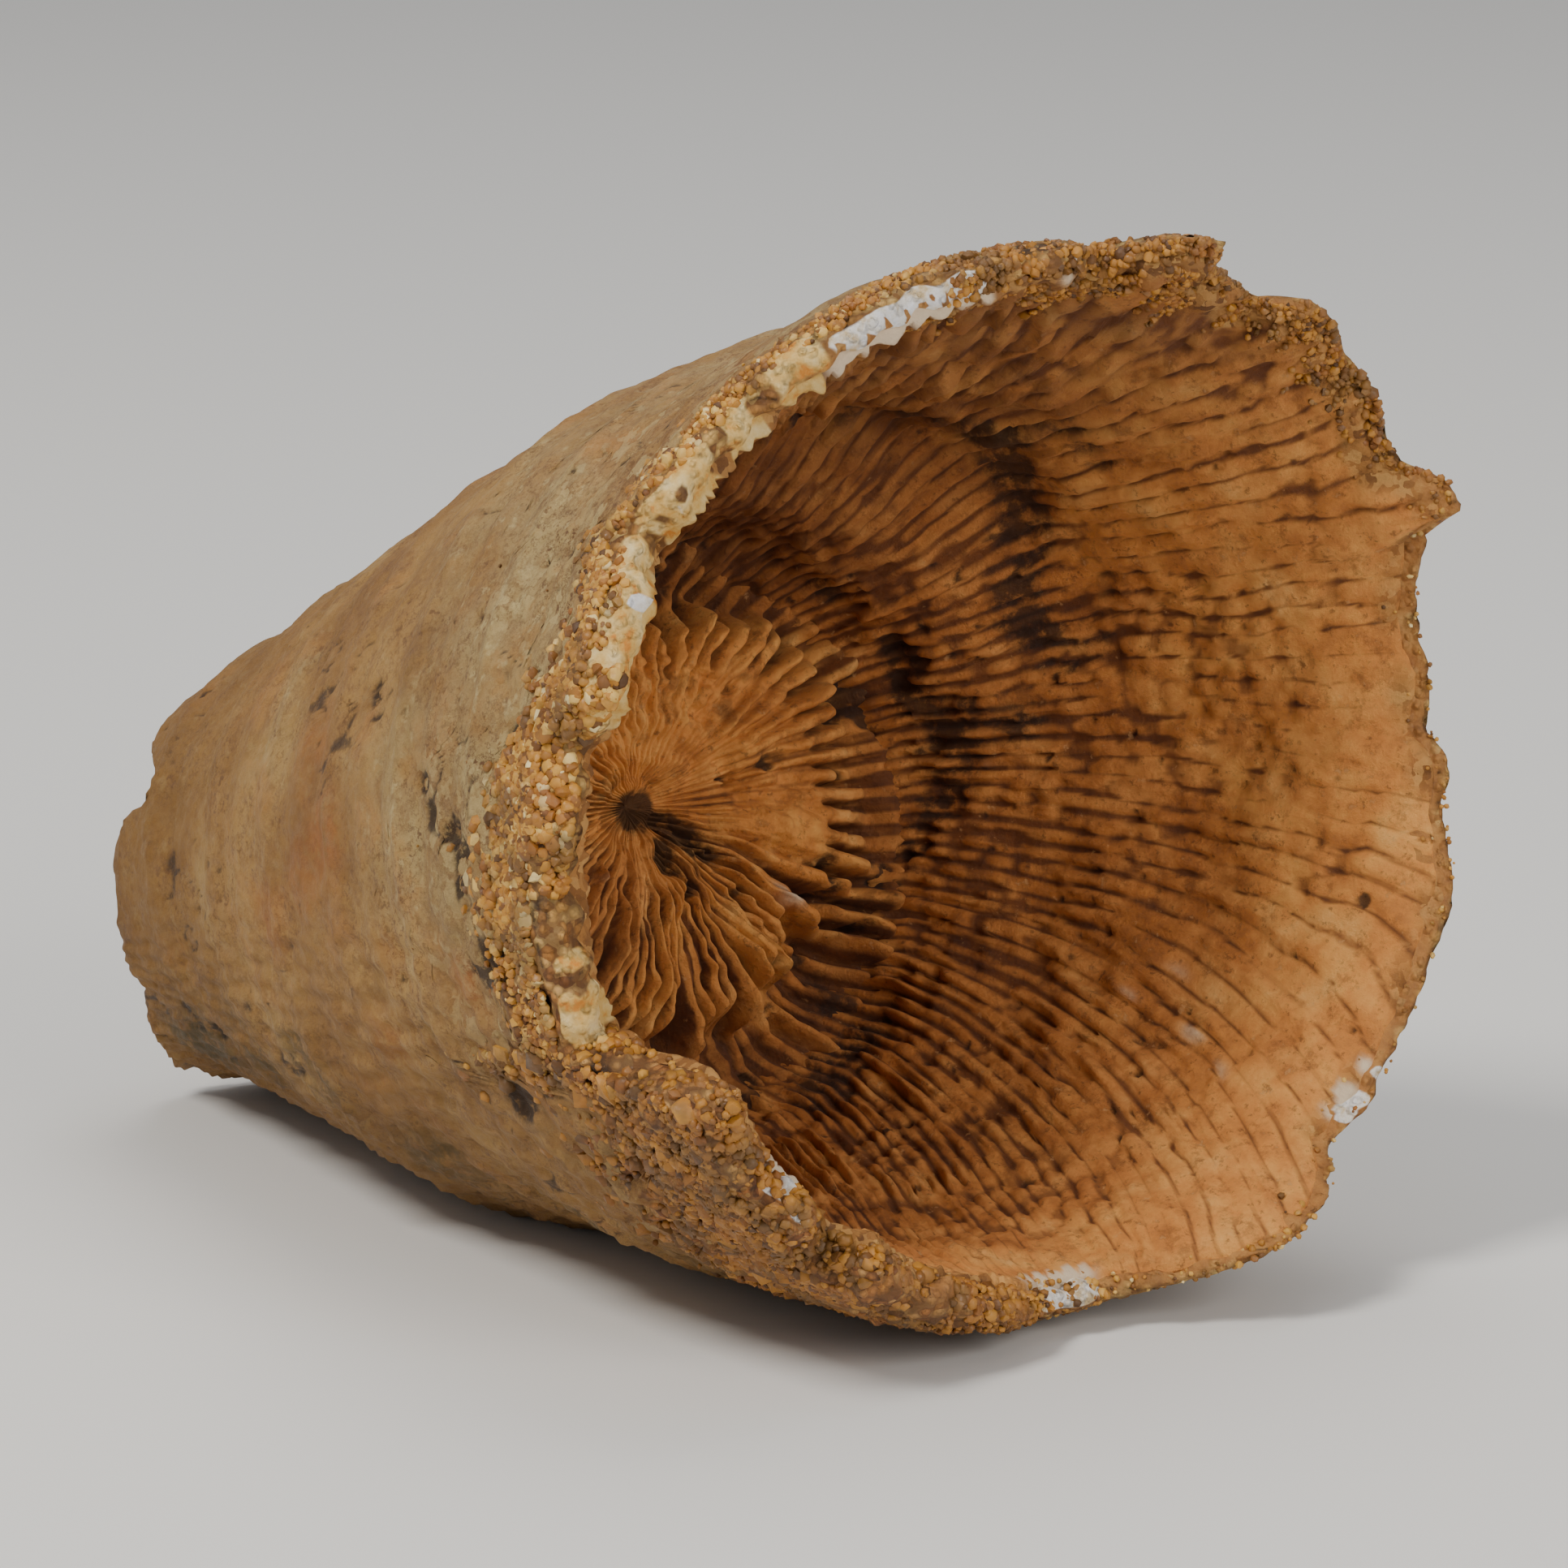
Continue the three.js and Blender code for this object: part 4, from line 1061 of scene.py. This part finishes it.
# the plain stone of the wall: mottled tan with grey patches, darker bands, specks and veins
def plainStone(look):
    tones = wallColours
    colour = look.ramp(look.noise(7, 6, 0.62), tones["stone"])
    colour = look.cover(colour, look.span(look.noise(4, 5), 0.5, 0.68), 0.5, tones["warm"])
    grey = look.times(look.attribute("grey"), look.span(look.noise(2.2, 5), 0.3, 0.6))
    colour = look.cover(colour, grey, 0.85, tones["grey"])
    colour = look.cover(colour, look.span(look.attribute("band"), 0.35, 0.8), 0.3, tones["band"])
    colour = look.cover(colour, look.span(look.noise(1.1, 6, 0.72), 0.48, 0.64), 0.5, tones["mottle"])
    colour = look.cover(colour, look.attribute("tip"), 0.55, tones["tip"])
    lump = look.span(look.noise(0.8, 3), 0.56, 0.68)
    colour = look.cover(colour, lump, look.span(look.attribute("grey"), 0, 1, 0.1, 0.5), tones["lump"])
    ridge = look.combine("ABSOLUTE", look.combine("SUBTRACT", look.noise(0.9, 5, 0.7), 0.5), 0)
    vein = look.times(look.span(ridge, 0.03, 0.0), 0.8)
    speck = look.combine("MAXIMUM", look.span(look.noise(0.34, 4, 0.7), 0.55, 0.64), vein)
    patchy = look.span(look.noise(2.6, 4), 0.38, 0.62, 0.15, 0.65)
    patchy = look.combine("ADD", patchy, look.times(look.attribute("cobble"), 0.35))
    return look.cover(colour, speck, patchy, tones["speck"])


# what lies on the stone: pebbly crust of the near side, rust, soil and moss
def weathered(look, colour):
    tones = wallColours
    for tone, share, reach in (
            ("seam", 0.45, look.span(look.cells(0.85, twist=1.6), 0.48, 0.72)),
            ("pebble", 0.55, look.span(look.cells(0.85, "Color", 1.6), 0.6, 0.8))):
        colour = look.cover(colour, look.times(reach, look.attribute("cobble")), share, tones[tone])
    for tone, share, size, detail, low, high in (
            ("rust", 0.7, 0.9, 5, 0.3, 0.6),
            ("soil", 0.6, 0.9, 6, 0.38, 0.6),
            ("moss", 0.85, 0.7, 6, 0.34, 0.56)):
        where = look.times(look.attribute(tone), look.span(look.noise(size, detail, 0.7), low, high))
        colour = look.cover(colour, where, share, tones[tone])
    return colour


# packed crystals of the crust, each its own tone, with dark gaps
def packedCrystals(look):
    tones = crustColours
    size = tones["crystalSize"]
    golden = look.ramp(look.cells(size, "Color"), tones["golden"])
    redder = look.ramp(look.cells(size, "Color"), tones["redder"])
    crystal = look.mix(look.attribute("lower"), golden, redder)
    crystal = look.cover(crystal, look.span(look.noise(1.6, 4), 0.42, 0.62), 0.5, tones["tinge"])
    return look.cover(crystal, look.span(look.cells(size), 0.36, 0.64), 0.65, tones["gap"])


def wallStone():
    look = Look("weathered_stone", 0.8)
    tones = wallColours
    colour = weathered(look, plainStone(look))
    edge = look.span(look.noise(0.8, 4), 0.3, 0.7, -0.3, 0.3)
    crust = look.span(look.combine("ADD", look.attribute("crust"), edge), 0.3, 0.62)
    colour = look.mix(crust, colour, packedCrystals(look))
    inside = look.ramp(look.noise(1.2, 5, 0.65), tones["inside"])
    colour = look.cover(colour, look.attribute("inner"), 0.85, inside)
    colour = creamOver(look, colour)
    pit = look.times(look.attribute("pit"), look.span(look.noise(0.35, 4, 0.7), 0.3, 0.55, 0.5, 1.2))
    colour = look.mix(look.span(pit, 0.2, 0.8, 0, 0.88), colour, tones["pit"])
    white = look.ramp(look.noise(0.8, 4), tones["white"])
    colour = look.mix(look.span(look.attribute("fresh"), 0.35, 0.55), colour, white)
    packed = look.times(look.span(look.cells(crustColours["crystalSize"]), 0.62, 0.1), crust)
    normal = look.bump(packed, 0.16, look.bump(look.noise(0.35, 6, 0.7), 0.16))
    return look.finish(colour, normal, look.span(look.noise(0.6, 4), 0.3, 0.7, 0.6, 0.9))


calyxColours = {
    "ridge": [(0.3, (158, 94, 40)), (0.45, (194, 120, 54)), (0.58, (216, 144, 74)), (0.72, (228, 166, 96))],
    "bright": [
        (0.3, (192, 120, 54)), (0.45, (222, 146, 70)), (0.58, (234, 166, 86)), (0.72, (240, 186, 112))],
    # groove colour: painted shade in the grooves and recesses
    "groove": [(0.35, (90, 47, 19)), (0.65, (138, 80, 36))],
    "mottle": (128, 76, 34),
    "speck": (88, 50, 24),
    "chip": (222, 168, 108),
    # colour of the painted shade over the calice's top, the floor's cliff and the foot of the wall
    "paintedShade": (90, 50, 21),
    # colour of stains, dots and pits, and of the painted shadow under the growth ledge and on the floor's far
    # cliff
    "stainAndShade": (44, 24, 10),
    "crystal": [(0.2, (98, 62, 28)), (0.5, (158, 108, 52)), (0.85, (196, 150, 86))],
    # white of the breaks, also used for the painted highlights on the floor's blade tops
    "white": (228, 204, 172),
}


def calyxStone():
    look = Look("calice_stone", 0.85)
    tones = calyxColours
    broad = look.noise(2.4, 7, 0.7)
    ridge, bright = look.ramp(broad, tones["ridge"]), look.ramp(broad, tones["bright"])
    ridge = look.mix(look.attribute("pale"), ridge, bright)
    # painted shade in grooves and recesses
    recessShade = look.span(look.attribute("recessShade"), 0.2, 0.95)
    colour = look.mix(recessShade, ridge, look.ramp(broad, tones["groove"]))
    colour = look.cover(colour, look.span(look.noise(1.0, 6, 0.75), 0.52, 0.66), 0.5, tones["mottle"])
    colour = look.cover(colour, look.span(look.noise(0.4, 5, 0.72), 0.57, 0.68), 0.55, tones["speck"])
    colour = look.cover(colour, look.span(look.noise(0.5, 4), 0.64, 0.72), 0.5, tones["chip"])
    # painted shade: the calice's top, the floor's cliff and the foot of the wall are darkened
    colour = look.cover(colour, look.attribute("paintedShade"), 0.7, tones["paintedShade"])
    # stains, dots and pits, with painted shadow under the growth ledge and on the far cliff of the floor's
    # trench
    stainAndShade = look.times(look.attribute("stainAndShade"), look.span(look.noise(0.7, 5, 0.7), 0.3, 0.6, 0.5, 1.25))
    colour = look.mix(look.span(stainAndShade, 0.2, 0.85, 0, 0.85), colour, tones["stainAndShade"])
    crystal = look.ramp(look.cells(0.4, "Color", 1.0), tones["crystal"])
    colour = look.mix(look.span(look.attribute("crust"), 0.3, 0.9, 0, 0.8), colour, crystal)
    # white breaks, and painted highlights on the floor's blade tops
    colour = look.mix(look.attribute("fresh"), colour, tones["white"])
    colour = creamOver(look, colour)
    normal = look.bump(look.noise(0.4, 7, 0.75), 0.2)
    return look.finish(colour, normal, look.span(look.noise(0.6, 4), 0.3, 0.7, 0.68, 0.95))


grainColours = {
    "tone": [
        (0.0, (80, 50, 20)), (0.15, (134, 86, 32)), (0.5, (180, 123, 44)), (0.8, (199, 148, 62)),
        (0.95, (216, 178, 98)), (1.0, (230, 208, 150))],
    "reddish": (158, 94, 36),
    "dull": (104, 76, 38),
}


def grainStone():
    look = Look("grain_crystal", 0.4)
    colour = look.ramp(look.attribute("tone"), grainColours["tone"])
    colour = look.mix(look.span(look.noise(1.3, 4), 0.5, 0.66, 0, 0.4), colour, grainColours["reddish"])
    colour = look.mix(look.span(look.noise(2.2, 4), 0.46, 0.64, 0, 0.65), colour, grainColours["dull"])
    normal = look.bump(look.noise(0.15, 3), 0.04, strength=0.7)
    return look.finish(colour, normal, look.span(look.noise(0.4, 3), 0.3, 0.7, 0.4, 0.7))


def dress(piece, material):
    piece.data.materials.append(material)
    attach(piece, "root")
    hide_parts("horn_coral")
    print(piece.name, "dressed in", material.name)


insideStone = calyxStone()
dress(wallPiece, wallStone())
dress(calyxPiece, insideStone)
dress(floorPiece, insideStone)
dress(grains, grainStone())

studio = {
    "floorSize": 3,
    "paper": (226, 224, 220),
    "sky": (226, 228, 232),
    "skyStrength": 0.45,
    "azimuth": 50,
    "elevation": 12.8,
    "distance": 0.3,
    "lens": 192.8,
    "sensor": 36,
    "photoPixel": 0.029 * mm,  # at the fossil
    "photoMiddle": 966,
    "aimAlong": 48,  # the point of the axis that is at aimPixel in the photo
    "aimPixel": (1254, 977),
    "lampTarget": (0, 0, 0.018),
    # name, right, up, back, size, power, colour
    "lamps": [
        ("key", -0.20, 0.28, 0.26, 0.12, 1.35, (1.0, 0.97, 0.92)),
        ("fill", 0.24, 0.10, 0.34, 0.20, 0.9, (1.0, 0.98, 0.95)),
        ("top", 0.02, 0.36, -0.05, 0.2, 0.4, (1, 1, 1))],
}
azimuth = math.radians(studio["azimuth"])
elevation = math.radians(studio["elevation"])
flatShare = math.cos(elevation)
backWay = Vector((math.sin(azimuth) * flatShare, -math.cos(azimuth) * flatShare, math.sin(elevation)))
rightWay = Vector((math.cos(azimuth), math.sin(azimuth), 0))
upWay = backWay.cross(rightWay)


def paleFloor():
    bpy.ops.object.select_all(action="DESELECT")
    bpy.ops.mesh.primitive_plane_add(size=studio["floorSize"], location=(0, 0, 0))
    floor = bpy.context.object
    floor.name = "floor"
    paper = Look("pale_paper", 0.9)
    paper.shader.inputs["Base Color"].default_value = tint(*studio["paper"])
    floor.data.materials.append(paper.material)


def softSky():
    world = bpy.data.worlds.new("studio")
    bpy.context.scene.world = world
    world.use_nodes = True
    background = world.node_tree.nodes["Background"]
    background.inputs["Color"].default_value = tint(*studio["sky"])
    background.inputs["Strength"].default_value = studio["skyStrength"]


def photoCamera():
    aim = Vector((studio["aimAlong"] * axisWay + horn["setDown"]) * mm)
    right, down = ((place - studio["photoMiddle"]) * studio["photoPixel"] for place in studio["aimPixel"])
    eye = aim + backWay * studio["distance"] - rightWay * right + upWay * down
    camera = bpy.data.objects.new("camera", bpy.data.cameras.new("camera"))
    bpy.context.collection.objects.link(camera)
    camera.matrix_world = Matrix.Translation(eye) @ Matrix((rightWay, upWay, backWay)).transposed().to_4x4()
    camera.data.lens = studio["lens"]
    camera.data.sensor_width = studio["sensor"]
    camera.data.clip_start = 0.01
    bpy.context.scene.camera = camera


def softLight(name, right, up, back, size, power, colour):
    lamp = bpy.data.objects.new(name, bpy.data.lights.new(name, "AREA"))
    bpy.context.collection.objects.link(lamp)
    target = Vector(studio["lampTarget"])
    spot = target + rightWay * right + upWay * up + backWay * back
    facing = (spot - target).to_track_quat("Z", "Y")
    lamp.matrix_world = Matrix.Translation(spot) @ facing.to_matrix().to_4x4()
    lamp.data.size = size
    lamp.data.energy = power
    lamp.data.color = colour


paleFloor()
softSky()
photoCamera()
for lamp in studio["lamps"]:
    softLight(*lamp)
print("floor, sky, camera and", len(studio["lamps"]), "lamps are in place")
